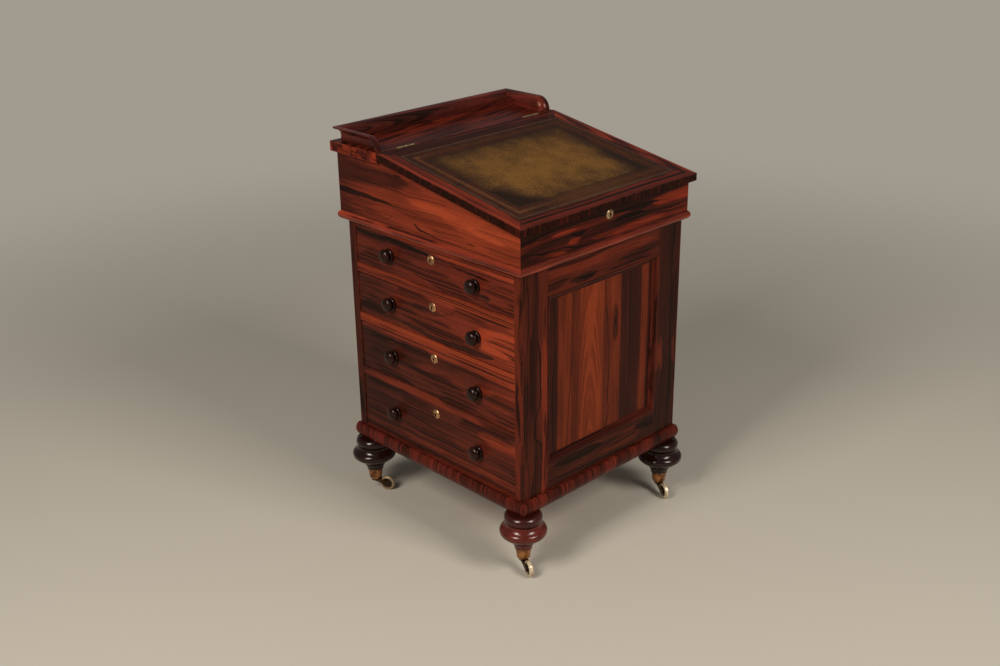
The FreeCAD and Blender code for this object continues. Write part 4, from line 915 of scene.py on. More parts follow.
    def framed_end(self, nodes: dict, end: str) -> None:
        """Polish one framed end.

        Args:
            nodes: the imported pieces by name.
            end: front or back.
        """
        low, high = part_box(f"{end}_frame")
        middle = (low.z + high.z) / 2
        finish = Finish(f"{end}_frame_rosewood")
        x, y, z = finish.xyz
        upright = x.size().above(self.panel_half_width)
        along = finish.choose(upright, x, z)
        across = finish.choose(upright, z - middle, x)
        board = finish.choose(upright, z.above(middle) + 2.0, x.above(0.0))
        marks = both_marks(lay_streaks(finish, self.rail_streaks, x, z),
                           lay_streaks(finish, self.stile_streaks, z, x), upright)
        narrow = x.size().above(high.x - self.frame_edge)
        marks = {mark: laid * (1.0 - narrow) for mark, laid in marks.items()}
        tone = finish.choose(upright, self.rail_tone, self.stile_tone) \
            + narrow * (y.above(0.0) * self.back_edge_change + self.edge_change)
        colour, relief = self.stile_wood.figure(finish, along, across, y, board, marks, tone)
        joint = edge_line(x.size() - self.panel_half_width, self.joint_line)
        colour = finish.paint(joint * self.joint_depth, colour, self.stile_wood.ink)
        # Lighter here and there along the frame's edges: worn polish and a painted highlight.
        colour = rub_and_highlight_edge(finish, colour, arris(finish, low, high), self.stile_wood.light)
        dress(nodes[f"{end}_frame"], self.stile_wood.polish(finish, colour, relief))

    def panel(self, nodes: dict, end: str) -> None:
        """Polish one panel, its figure running up and down."""
        finish = Finish(f"{end}_panel_rosewood")
        x, y, z = finish.xyz
        drift = finish.cloud(x * 9.0, 1.0, z * 5.0)
        tone = finish.course(x + drift.swing(0.010), self.panel_bands_and_edge_shadow)
        marks = lay_streaks(finish, self.panel_streaks, z, x)
        depth = (y.size() - self.panel_face) * -1.0
        colour, relief = self.panel_wood.figure(finish, z - self.panel_middle, x, depth, 0.0,
                                                marks, tone)
        dress(nodes[f"{end}_panel"], self.panel_wood.polish(finish, colour, relief))

    def panel_moulding(self, nodes: dict, end: str) -> None:
        """Polish the mitred moulding round one panel."""
        low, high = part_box(f"{end}_panel_moulding")
        finish = Finish(f"{end}_moulding_rosewood")
        x, y, z = finish.xyz
        from_side = high.x - x.size()
        from_end = (z - low.z).least(high.z - z)
        upright = from_end.above(from_side)
        along = finish.choose(upright, x, z)
        across = finish.choose(upright, z, x)
        colour, relief = self.moulding_wood.figure(finish, along, across, y, upright)
        mitre = edge_line(from_end - from_side, self.joint_line)
        colour = finish.paint(mitre * self.joint_depth, colour, self.moulding_wood.ink)
        dress(nodes[f"{end}_panel_moulding"], self.moulding_wood.polish(finish, colour, relief))

    def rails(self, nodes: dict) -> None:
        """Polish the rails between the drawers of both sides."""
        for name in ("drawer_rails", "dummy_rails"):
            finish = Finish(f"{name}_rosewood")
            x, y, z = finish.xyz
            tone = finish.course(y, self.rail_tones)
            for height, change in self.rail_changes:
                tone = tone + z.near(height, self.rail_reach) * change
            # Darken the bottom rail under the lowest drawer: a painted shadow.
            tone = tone + (1.0 - z.rise(*self.lowest_rail)) * self.lowest_rail_painted_shadow
            board = (z / self.rail_pitch).floor()
            colour, relief = self.rail_wood.figure(finish, y, z, x, board, tone=tone)
            dress(nodes[name], self.rail_wood.polish(finish, colour, relief))

    def plinth(self, nodes: dict) -> None:
        """Polish the plinth, which is banded across in short blocks."""
        _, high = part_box("plinth_moulding")
        finish = Finish("plinth_rosewood")
        x, y, z = finish.xyz
        on_side = (high.y - y.size()).above(high.x - x.size())
        run = finish.choose(on_side, x, y)
        lot, joint = banding(finish, run, self.block, on_side * 31.0, 0.02)
        tone = lot * self.block_spread + self.block_tone
        colour, relief = self.plinth_wood.figure(finish, z, run, x + y, lot * BLOCK_SPREAD,
                                                 tone=tone)
        colour = finish.paint(joint * 0.75, colour, self.plinth_wood.ink)
        dress(nodes["plinth_moulding"], self.plinth_wood.polish(finish, colour, relief))

    def carcase(self, nodes: dict) -> None:
        """Leave the hidden boards in bare pine and waxed oak."""
        pine = PlainWood(seed=4.0)
        oak = PlainWood(light=chart(158, 118, 74), dark=chart(104, 72, 42), seed=6.0)
        level = pine.material("pine_level", Cut.TOP_ALONG_Y)
        for name in ("base_board", "pedestal_top", "drawer_runners"):
            dress(nodes[name], level)
        dress(nodes["end_board"], pine.material("pine_upright", Cut.LEVEL_SIDE))
        dress(nodes["slide_rails"], oak.material("oak_slides", Cut.TOP_ALONG_Y))

    def make(self, nodes: dict) -> None:
        """Dress the whole pedestal."""
        for end in ("front", "back"):
            self.framed_end(nodes, end)
            self.panel(nodes, end)
            self.panel_moulding(nodes, end)
        self.rails(nodes)
        self.plinth(nodes)
        self.carcase(nodes)
        LOG.info("pedestal: two framed ends, rails, plinth and carcase dressed")


@dataclass(frozen=True)
class DrawerFace:
    """One drawer front: its board, its streaks and its tones at the writer's end and far end."""

    wood: Rosewood
    streaks: tuple[Streak, ...]
    # The tones are the veneer's own, with painted sheen raising the writer's end and painted shade
    # lowering the far end.
    near_tone_with_sheen: float
    far_tone_with_shade: float


@dataclass
class DrawerStack:
    """The four drawers, the false fronts of the other side, their knobs and locks.

    faces come from the top drawer down, and the false fronts show all their streaks at once.
    """

    half_length: float = 0.25
    faces: tuple[DrawerFace, ...] = (
        DrawerFace(Rosewood(light=chart(143, 55, 31), warm=chart(97, 36, 23),
                            dark=chart(54, 24, 17), ring=0.010, black=0.05, broad=0.45,
                            heart=(0.62, 0.035), lean=0.03, wander=0.007, seed=11.2), (
            shade((-10, 668, 0), (14, 667.5, 3), (60, 669.5, 6), (130, 672, 8), (251, 672.4, 8),
                  soft=4),
            ink((-249, 666.2, 0.7), (-60, 666.3, 0.9), (14, 667, 2.2), (60, 670, 3.6),
                (130, 673.5, 4.5), (190, 671, 3.0), (251, 673, 3.4), depth=0.92),
            ink((120, 665, 0.6), (180, 663.5, 1.4), (251, 662, 0.8), depth=0.8),
            glow((-249, 673.5, 4.5), (-100, 673.5, 4.5), (0, 674, 0), soft=3),
            ink((-186, 655.5, 0), (-150, 657.5, 3.2), (-100, 659, 3.4), (-53, 661, 0), soft=1.6,
                depth=0.85),
            shade((-184, 617, 0), (-163, 617, 6), (-143, 617, 0), soft=4),
            ink((-180, 618, 0), (-165, 619, 1.6), (-148, 616, 0), depth=0.8),
            ink((-199, 594, 0), (-170, 595.5, 1.2), (-128, 597.5, 0.7), (-60, 601, 0), depth=0.9),
            ink((-249, 602.4, 1.4), (-186, 606.6, 1.6), (-120, 609, 1.0), (-90, 611, 0),
                depth=0.9),
            ink((-20, 628, 0), (60, 630, 1.0), (140, 633, 1.5), (251, 636, 0.8), depth=0.75),
            ink((30, 605, 0), (110, 607, 1.2), (251, 604, 1.4), depth=0.7),
        ), near_tone_with_sheen=0.60, far_tone_with_shade=0.34),
        DrawerFace(Rosewood(light=chart(154, 61, 35), warm=chart(109, 41, 25),
                            dark=chart(56, 25, 17), ring=0.012, black=0.04, broad=0.5,
                            heart=(0.66, 0.020), lean=0.03, wander=0.009, seed=14.9), (
            ink((0, 570.6, 0), (60, 570.3, 1.4), (251, 570.3, 1.8), depth=0.9),
            shade((-30, 540, 0), (24, 540, 12), (78, 540, 0), soft=12, depth=0.4),
            ink((-90, 567, 0), (-82, 566, 0.8), (-53, 548, 1.0), (-20, 537, 1.0),
                (1, 531.6, 0.8), (20, 527, 0), depth=0.85),
            shade((-191, 490, 0), (-170, 486.3, 4.5), (-128, 485, 5.5), (-82, 482, 6),
                  (-20, 480.2, 5), (39, 483.5, 4.5), (110, 488, 2), soft=2),
            ink((-192, 490.8, 0), (-128, 490.3, 0.9), (-82, 487.2, 1.0), (-20, 484.2, 1.0),
                (39, 487.8, 0.9), (89, 490, 0.8), (120, 492, 0), depth=0.95),
            ink((-192, 489.6, 0), (-170, 481.6, 1.0), (-103, 477.4, 1.1), (1, 476.2, 1.1),
                (45, 479, 1.0), (89, 483.7, 0.8), depth=0.95),
            ink((158, 497, 0), (162, 497, 7), (251, 496, 9), soft=3, depth=0.8),
            ink((20, 515, 0), (100, 517, 1.4), (251, 512, 1.0), depth=0.7),
            ink((-249, 556, 0.8), (-150, 553, 0.9), (-60, 557, 0), depth=0.6),
            # A broad brighter patch at the writer's end: painted sheen.
            glow((-249, 520, 34), (-150, 520, 26), (-110, 520, 0), soft=16),
        ), near_tone_with_sheen=0.66, far_tone_with_shade=0.15),
        DrawerFace(Rosewood(light=chart(142, 55, 31), warm=chart(97, 37, 23),
                            dark=chart(54, 25, 18), ring=0.009, black=0.05, broad=0.45,
                            heart=(0.50, 0.080), lean=0.02, wander=0.006, seed=17.4), (
            glow((-249, 443, 7), (-130, 443, 6), (0, 445, 5), (251, 446, 4), soft=4),
            ink((-249, 432, 1.4), (0, 432, 1.6), (100, 432, 2.4), (150, 432, 3.6),
                (200, 432.5, 2.6), (251, 433, 1.6), depth=0.92),
            ink((-103, 381, 0), (-50, 382, 4.2), (20, 383, 5.2), (70, 384, 3.4), (93, 385, 0),
                soft=2, depth=0.85),
            ink((-249, 352.4, 0.9), (-180, 361, 1.0), (-120, 369, 0.9), (-60, 373, 0), depth=0.85),
            ink((60, 405, 0), (130, 407, 1.5), (251, 404, 1.0), depth=0.75),
            ink((-20, 352, 0), (100, 354, 1.4), (251, 351, 1.2), depth=0.75),
            # A broad brighter patch at the writer's end: painted sheen.
            glow((-249, 405, 12), (-180, 405, 9), (-120, 406, 0), soft=8, depth=0.7),
        ), near_tone_with_sheen=0.56, far_tone_with_shade=0.12),
        DrawerFace(Rosewood(light=chart(133, 51, 30), warm=chart(89, 34, 22),
                            dark=chart(52, 24, 17), ring=0.011, black=0.05, broad=0.45,
                            heart=(0.55, 0.060), lean=0.02, wander=0.007, seed=21.8), (
            # A broad brighter patch at the writer's end: painted sheen.
            glow((-235, 294, 14), (-180, 295, 16), (-124, 296, 0), soft=11, depth=0.8),
            ink((-249, 212.8, 1.2), (0, 217, 1.4), (251, 221, 1.2), depth=0.9),
            glow((-249, 205, 6), (0, 205.5, 6.5), (251, 206, 5), soft=4, depth=0.65),
            # A dark line along this front's bottom edge: painted shadow in the gap above the
            # bottom rail.
            ink((-249, 192, 2.2), (251, 193, 2.8), soft=1.6, depth=0.75),
            ink((-120, 262, 0), (-20, 258, 1.8), (90, 262, 2.8), (251, 258, 1.4), depth=0.75),
            ink((-249, 246, 0.8), (-100, 241, 1.2), (40, 238, 0), depth=0.75),
        ), near_tone_with_sheen=0.48, far_tone_with_shade=0.14),
    )
    knob_wood: Rosewood = Rosewood(
        light=chart(58, 26, 16), warm=chart(38, 17, 11), dark=chart(22, 11, 8),
        ink=chart(12, 7, 5), ring=0.006, heart=(0.02, 0.05), seed=6.6, gloss=0.14, shine=0.22,
        glow=(1.0, 0.86, 0.80))
    knob_spacing: float = 0.136
    dummy_middle: float = 0.44
    dummy_pitch: float = 0.12
    dummy_tones: tuple[float, float] = (0.56, 0.34)

    def face(self, name: str, board: DrawerFace, node: str) -> bpy.types.Material:
        """Polish a drawer front whose grain runs along it.

        Args:
            name: the finish's name.
            board: the veneer it is faced with.
            node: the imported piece, for its edges.

        Returns:
            The finished material.
        """
        low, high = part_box(node)
        middle = (low.z + high.z) / 2
        finish = Finish(name)
        x, y, z = finish.xyz
        marks = lay_streaks(finish, board.streaks, y, z)
        # From the writer's end to the far end: the veneer's tone with painted sheen and painted
        # shade.
        tone = finish.course(y, ((-self.half_length, board.near_tone_with_sheen),
                                 (0.0, (board.near_tone_with_sheen + board.far_tone_with_shade) / 2),
                                 (self.half_length, board.far_tone_with_shade)))
        colour, relief = board.wood.figure(finish, y, z - middle, x.size() - self.half_length,
                                           0.0, marks, tone)
        # Lighter here and there along the front's edges: worn polish and a painted highlight.
        colour = rub_and_highlight_edge(finish, colour, arris(finish, low, high), board.wood.light)
        return board.wood.polish(finish, colour, relief)

    def false_fronts(self, nodes: dict) -> None:
        """Polish the false fronts of the right side, one board of figure to each."""
        board = self.faces[1]
        finish = Finish("dummy_front_rosewood")
        x, y, z = finish.xyz
        marks = None
        for face in self.faces:
            laid = lay_streaks(finish, face.streaks, y, z)
            marks = laid if marks is None else {mark: marks[mark].most(laid[mark])
                                                for mark in Mark}
        tone = finish.course(y, tuple(zip((-self.half_length, self.half_length),
                                          self.dummy_tones)))
        row = (z / self.dummy_pitch).floor()
        colour, relief = board.wood.figure(finish, y, z - self.dummy_middle,
                                           x.size() - self.half_length, row, marks, tone)
        dress(nodes["dummy_drawer_fronts"], board.wood.polish(finish, colour, relief))

    def knobs(self, nodes: dict) -> None:
        """Polish the turned knobs nearly black."""
        finish = Finish("knob_rosewood")
        x, y, z = finish.xyz
        side = y.above(0.0)
        colour, relief = self.knob_wood.figure(finish, x, y.size() - self.knob_spacing, z, side)
        material = self.knob_wood.polish(finish, colour, relief)
        for name in ["dummy_knobs"] + [f"drawer_{number}_knobs" for number in DRAWERS]:
            dress(nodes[name], material)

    def linings(self, nodes: dict) -> None:
        """Wax the drawer boxes in plain mahogany."""
        wood = PlainWood(light=chart(156, 94, 54), dark=chart(104, 56, 32), seed=2.0)
        material = wood.material("drawer_mahogany", Cut.LEVEL_FRONT)
        for number in DRAWERS:
            dress(nodes[f"drawer_{number}_box"], material)

    def locks(self, nodes: dict) -> None:
        """Give the locks and keyhole plates their worn brass."""
        brass = Brass(bright=chart(196, 150, 106), dull=chart(124, 86, 56), wear=0.47,
                      gloss=0.34, seed=1.0).material("lock_brass")
        for name in ["dummy_escutcheons"] + [f"drawer_{number}_lockset" for number in DRAWERS]:
            dress(nodes[name], brass)

    def make(self, nodes: dict) -> None:
        """Dress every drawer and false front."""
        for number, board in enumerate(self.faces, start=1):
            name = f"drawer_{number}_front"
            dress(nodes[name], self.face(f"{name}_rosewood", board, name))
        self.false_fronts(nodes)
        self.knobs(nodes)
        self.linings(nodes)
        self.locks(nodes)
        LOG.info("drawers: four fronts, false fronts, knobs, boxes and locks dressed")


@dataclass
class TurnedFeet:
    """The four turned feet."""

    collar_foot: float = 0.122
    black: Colour = chart(19, 10, 9)
    foot_black: float = 0.92
    collar_black: float = 0.6
    wood: Rosewood = Rosewood(
        light=chart(118, 42, 28), warm=chart(88, 31, 21), dark=chart(50, 19, 14),
        ink=chart(22, 10, 8), ring=0.030, black=0.05, lines=0.25, broad=0.35, heart=(0.03, 0.02),
        lean=0.05, wander=0.006, seed=9.4, gloss=0.14, shine=0.36, coat=0.10,
        glow=(1.0, 0.88, 0.84))

    def make(self, nodes: dict) -> None:
        """Polish the feet, one redder and the others nearly black."""
        finish = Finish("foot_rosewood")
        x, y, z = finish.xyz
        right, back = x.above(0.0), y.above(0.0)
        shift = right * 3.0 + back * 5.0
        colour, relief = self.wood.figure(finish, z, x.size() - FOOT_X, y.size() - FOOT_Y, shift)
        collar = z.above(self.collar_foot)
        dark = right.most(back) * self.foot_black
        colour = finish.paint(dark.most(collar * self.collar_black), colour, self.black)
        dress(nodes["turned_feet"], self.wood.polish(finish, colour, relief))
        LOG.info("feet: four turned feet polished")


@dataclass
class Casters:
    """Brass cups, swivelling horns and worn wheels."""

    corners: tuple[str, ...] = ("front_left", "front_right", "back_left", "back_right")
    cup: Brass = Brass(
        bright=chart(190, 132, 84), dull=chart(112, 68, 42), grime=chart(40, 22, 16), wear=0.50,
        gloss=0.20, seed=3.0)
    fork: Brass = Brass(
        bright=chart(112, 84, 56), dull=chart(66, 47, 31), grime=chart(26, 18, 13), wear=0.56,
        gloss=0.36, seed=5.0)
    tread: Colour = chart(216, 196, 162)
    worn_tread: Colour = chart(160, 134, 100)
    # Colour and reach of the painted shade on the wheel's sides.
    recess_shade: Colour = chart(58, 44, 32)
    recess_shade_edge: tuple[float, float] = (0.62, 0.84)

    def wheel(self, corner: str) -> bpy.types.Material:
        """One wheel's brass: rubbed pale on its tread, with painted shade on its sides round the
        hub.
        """
        low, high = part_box(f"caster_wheel_{corner}")
        middle, radius = (low + high) / 2, (high.z - low.z) / 2
        finish = Finish(f"wheel_brass_{corner}")
        gone = [axis - place for axis, place in zip(finish.xyz, middle)]
        out = finish.number("SQRT", gone[0] * gone[0] + gone[1] * gone[1] + gone[2] * gone[2])
        scuff = BRASS_SCUFF.lay(finish, finish.xyz)
        pale = self.worn_tread if corner == "back_left" else self.tread
        colour = finish.paint(scuff.rise(0.36, 0.52), self.worn_tread, pale)
        # Darken the wheel's sides inside its rim: painted shade of the recess round the hub.
        colour = finish.paint(1.0 - (out / radius).rise(*self.recess_shade_edge), colour, self.recess_shade)
        return finish.close(colour, scuff.swing(-0.4) + 0.40, scuff, CAST_DEPTH, Metallic=0.35)

    def make(self, nodes: dict) -> None:
        """Dress the four casters."""
        dress(nodes["caster_cups"], self.cup.material("cup_brass"))
        fork = self.fork.material("fork_bronze")
        for corner in self.corners:
            dress(nodes[f"caster_fork_{corner}"], fork)
            dress(nodes[f"caster_wheel_{corner}"], self.wheel(corner))
        LOG.info("casters: cups, forks and wheels dressed")


@dataclass
class DeskBox:
    """The sliding desk box with its shelf, gallery and fitment.

    side_tones are (y, tone) along the walls. block and the tones after it are those of the
    shelf's banded edges, whose frontmost block is the brightest.
    """

    half_width: float = 0.262
    wall_middle: float = 0.77
    back_face: float = 0.28
    side_tones: tuple[tuple[float, float], ...] = (
        (-0.28, 0.62), (-0.10, 0.60), (0.10, 0.50), (0.29, 0.22))
    front_face: float = -0.279
    front_middle: float = 0.75
    gallery_half_width: float = 0.254
    gallery_back: float = 0.279
    gallery_foot: float = 0.87
    shelf_half_width: float = 0.272
    shelf_back: float = 0.297
    shelf_tone: float = 0.42
    block: float = 0.017
    block_tone: float = 0.44
    block_spread: float = 0.50
    front_block_end: float = 0.160
    front_block_change: float = 0.35
    # The colour of the shelf's lightened edges: worn polish and a painted highlight.
    rubbed: Colour = chart(150, 66, 44)
    joint_line: float = 0.0006
    joint_depth: float = 0.7
    side_wood: Rosewood = Rosewood(
        light=chart(155, 63, 34), warm=chart(119, 45, 25), dark=chart(58, 21, 13), ring=0.013,
        black=0.01, broad=0.42, lines=0.5, heart=(-0.30, 0.018), lean=0.05, wander=0.012,
        seed=31.5)
    front_wood: Rosewood = Rosewood(
        light=chart(124, 42, 22), warm=chart(78, 25, 15), dark=chart(38, 14, 9),
        ink=chart(6, 4, 3), ring=0.014, black=0.10, broad=0.5, heart=(-0.30, 0.030), lean=0.08,
        wander=0.014, seed=27.3)
    moulding_wood: Rosewood = Rosewood(
        light=chart(176, 68, 40), warm=chart(136, 50, 31), dark=chart(78, 30, 20), ring=0.010,
        black=0.06, heart=(0.3, 0.1), lean=0.0, wander=0.005, seed=12.7, gloss=0.18, shine=0.30,
        glow=(1.0, 0.60, 0.46))
    shelf_wood: Rosewood = Rosewood(
        light=chart(132, 46, 26), warm=chart(90, 30, 18), dark=chart(46, 16, 9), ring=0.014,
        black=0.15, heart=(0.35, 0.05), lean=0.03, wander=0.010, seed=7.7, gloss=0.26,
        shine=0.08)
    gallery_wood: Rosewood = Rosewood(
        light=chart(108, 39, 27), warm=chart(76, 27, 19), dark=chart(40, 16, 12), ring=0.012,
        black=0.14, heart=(0.1, 0.05), lean=0.05, wander=0.008, seed=13.1, gloss=0.20,
        shine=0.28)
    side_streaks: tuple[Streak, ...] = (
        ink((-20, 756.5, 0), (23.5, 757.3, 0.9), (98.5, 759, 1.8), (148.5, 761, 4.2),
            (203, 762.5, 5.8), (261, 763.4, 7.5), (279, 763.6, 6.2), soft=1.2),
        shade((40, 815, 0), (110, 815, 24), (285, 815, 28), soft=22, depth=0.7),
        ink((69, 826.7, 0), (83, 827, 2.3), (97, 827.4, 0), soft=1.4, depth=0.9),
        ink((100, 734, 0), (111, 734.8, 0.8), (186, 736.5, 1.0), (261, 729.4, 0.8),
            (279, 726, 0.6), depth=0.85),
        ink((104, 738, 0), (107, 736.5, 0.8), (128, 725.3, 1.0), (190, 727.3, 1.0),
            (244, 719, 0.9), (272, 713, 0), depth=0.85),
        ink((-276, 713.6, 0.7), (-131, 714.8, 0.9), (-31, 719, 1.5), (12, 723, 2.6),
            (24, 727.5, 3.4), (32, 732, 2.2), (38, 735.5, 0), depth=0.95),
        ink((-160, 729, 0), (-150, 728, 1.6), (-138, 728.5, 3), (-124, 728, 0), soft=2.2,
            depth=0.75),
        ink((-276, 781, 0), (-180, 789, 0.7), (-60, 800, 0.8), (40, 806, 0.7), (120, 808, 0),
            depth=0.55),
        ink((-276, 741, 0.6), (-150, 747, 0.8), (0, 747, 0.9), (120, 744, 0), depth=0.6),
        ink((60, 843, 0), (160, 840, 0.9), (285, 836, 0.8), depth=0.6),
        glow((-279, 757, 16), (-200, 758, 14), (-110, 759, 0), soft=12),
        glow((-120, 775, 0), (0, 780, 12), (70, 785, 0), soft=14, depth=0.6),
    )
    front_streaks: tuple[Streak, ...] = (
        ink((-262, 758.3, 5), (-232, 761, 4), (-195, 765.8, 2.4), (-95, 766.7, 1.8),
            (9, 763.3, 3.2), (60, 760.5, 5.2), (100, 758.3, 6.2), (140, 757.4, 4), (165, 757, 0),
            soft=1.3),
        ink((-255, 737.5, 1.2), (-212, 744.6, 1.6), (-124, 745.8, 2.0), (-110, 745, 4.6),
            (-95, 743, 5.2), (-78, 744.6, 3.6), (-62, 745.8, 1.4), (-4, 743.8, 1.4),
            (26, 745.8, 4.0), (61, 746, 6.2), (96, 745.8, 4.4), (113, 741.7, 2.2),
            (134, 738.3, 1.4), (259, 734.2, 1.0), soft=1.2),
        ink((-262, 734, 1.2), (-220, 731.3, 2.0), (-191, 725, 2.6), (-158, 725.8, 1.6),
            (-124, 721.7, 2.2), (-95, 714.6, 2.6), (-62, 711.7, 2.0), (-4, 710.4, 1.6),
            (113, 709.6, 0.9), (180, 709, 0), soft=1.2),
        ink((-262, 722, 1.0), (-200, 716, 1.4), (-150, 711, 0), depth=0.8),
        ink((-60, 731, 0), (20, 729, 1.2), (120, 727, 1.6), (258, 722, 0.9), depth=0.65),
        ink((-230, 781, 0), (-100, 780, 1.4), (60, 778, 1.0), (230, 776, 0), depth=0.7),
        ink((-262, 789, 2.6), (-60, 790, 2.2), (120, 789, 2.6), (262, 788, 2.0), soft=2.0,
            depth=0.65),
        glow((-184, 755, 0), (-137, 755.5, 4.5), (-90, 755, 0), soft=3),
        glow((-130, 730, 0), (-106, 731, 8), (-84, 731, 0), soft=4),
        glow((-222, 717, 0), (-172, 716.5, 5), (-124, 712, 0), soft=3),
        glow((128, 755, 0), (170, 757, 13), (262, 756, 15), soft=10),
        glow((-70, 724, 0), (10, 722, 9), (262, 722, 11), soft=8, depth=0.9),
        shade((-262, 775, 12), (0, 776, 9), (120, 775, 9), (262, 772, 0), soft=8, depth=0.8),
    )

    def walls(self, nodes: dict) -> None:
        """Polish the two sides, book-matched, and the back, the grain running level."""
        finish = Finish("desk_side_rosewood")
        x, y, z = finish.xyz
        marks = lay_streaks(finish, self.side_streaks, y, z)
        tone = finish.course(y, self.side_tones)
        colour, relief = self.side_wood.figure(finish, y, z - self.wall_middle,
                                               x.size() - self.half_width, x.above(0.0), marks,
                                               tone)
        dress(nodes["desk_sides"], self.side_wood.polish(finish, colour, relief))
        finish = Finish("desk_back_rosewood")
        x, y, z = finish.xyz
        colour, relief = self.side_wood.figure(finish, x, z - self.wall_middle,
                                               y - self.back_face, 4.0, tone=0.42)
        dress(nodes["desk_back"], self.side_wood.polish(finish, colour, relief))

    def front(self, nodes: dict) -> None:
        """Polish the narrow front board, the most figured one."""
        finish = Finish("desk_front_rosewood")
        x, y, z = finish.xyz
        marks = lay_streaks(finish, self.front_streaks, x, z)
        colour, relief = self.front_wood.figure(finish, x, z - self.front_middle,
                                                y - self.front_face, 0.0, marks, 0.36)
        dress(nodes["desk_front"], self.front_wood.polish(finish, colour, relief))

    def moulding(self, nodes: dict) -> None:
        """Polish the half-round strips round the desk's foot."""
        low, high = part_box("desk_base_moulding")
        finish = Finish("desk_moulding_rosewood")
        x, y, z = finish.xyz
        middle = (low.y + high.y) / 2
        from_side = high.x - x.size()
        from_end = (high.y - low.y) / 2 - (y - middle).size()
        side = from_end.above(from_side)
        colour, relief = self.moulding_wood.figure(
            finish, finish.choose(side, x, y), finish.choose(side, y, x), z, side, tone=0.50)
        dress(nodes["desk_base_moulding"], self.moulding_wood.polish(finish, colour, relief))

    def shelf(self, nodes: dict) -> None:
        """Polish the shelf, whose edges are banded across in short blocks."""
        low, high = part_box("desk_shelf")
        finish = Finish("shelf_rosewood")
        x, y, z = finish.xyz
        on_side = x.size().above(self.shelf_half_width - self.joint_line)
        edge = on_side.most(y.above(self.shelf_back - self.joint_line))
        run = finish.choose(on_side, x, y)
        lot, joint = banding(finish, run, self.block, on_side * 17.0, 0.05)
        along = finish.choose(edge, x, z)
        across = finish.choose(edge, y, run)
        front_block = on_side * (self.front_block_end - y).above(0.0)
        tone = finish.choose(edge, self.shelf_tone, lot * self.block_spread + self.block_tone) \
            + front_block * self.front_block_change
        colour, relief = self.shelf_wood.figure(finish, along, across, z,
                                                edge * lot * BLOCK_SPREAD, tone=tone)
        colour = finish.paint(joint * edge * self.joint_depth, colour, self.shelf_wood.ink)
        # Lighter here and there along the shelf's edges: worn polish and a painted highlight.
        colour = rub_and_highlight_edge(finish, colour, arris(finish, low, high), self.rubbed)
        dress(nodes["desk_shelf"], self.shelf_wood.polish(finish, colour, relief))

    def gallery(self, nodes: dict) -> None:
        """Polish the gallery, with mitres at its two back corners and a top painted lighter, a
        painted highlight.
        """
        _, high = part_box("gallery")
        finish = Finish("gallery_rosewood")
        x, y, z = finish.xyz
        from_side = self.gallery_half_width - x.size()
        from_back = self.gallery_back - y
        side = from_back.above(from_side)
        along = finish.choose(side, x, y)
        depth = finish.choose(side, y, x)
        # Lighter over the top 4 mm: a painted highlight where the top catches the light.
        tone = z.rise(high.z - 0.004, high.z - 0.001) * 0.30 + 0.40
        colour, relief = self.gallery_wood.figure(finish, along, z - self.gallery_foot, depth,
                                                  side * 2.0, tone=tone)
        mitre = edge_line(from_back - from_side, self.joint_line)
        colour = finish.paint(mitre * self.joint_depth, colour, self.gallery_wood.ink)
        dress(nodes["gallery"], self.gallery_wood.polish(finish, colour, relief))

    def inside(self, nodes: dict) -> None:
        """Wax the fitment and its small drawers, and leave the floor in pine."""
        wood = PlainWood(light=chart(164, 102, 58), dark=chart(110, 62, 34), seed=8.0, gloss=0.4)
        dress(nodes["pigeonhole_fitment"], wood.material("fitment_mahogany", Cut.UPRIGHT_FRONT))
        level = wood.material("small_drawer_mahogany", Cut.LEVEL_FRONT)
        for hand in ("left", "right"):
            dress(nodes[f"inner_drawer_{hand}"], level)
        dress(nodes["desk_bottom"], PlainWood(seed=5.0).material("desk_pine", Cut.TOP_ALONG_X))

    def make(self, nodes: dict) -> None:
        """Dress the desk box."""
        self.walls(nodes)
        self.front(nodes)
        self.moulding(nodes)
        self.shelf(nodes)
        self.gallery(nodes)
        self.inside(nodes)
        brass = replace(DESK_BRASS, seed=2.0).material("desk_brass")
        for name in ("desk_lockset", "desk_hinge_leaves"):
            dress(nodes[name], brass)
        LOG.info("desk box: walls, shelf, gallery, fitment and brass dressed")


@dataclass(frozen=True)
class HideWear:
    """How a place on the hide has fared: its clouds, and how far it lies in a worn corner."""

    mottle: Field
    drift: Field
    speck: Field
    left: Field
    front: Field
    right: Field


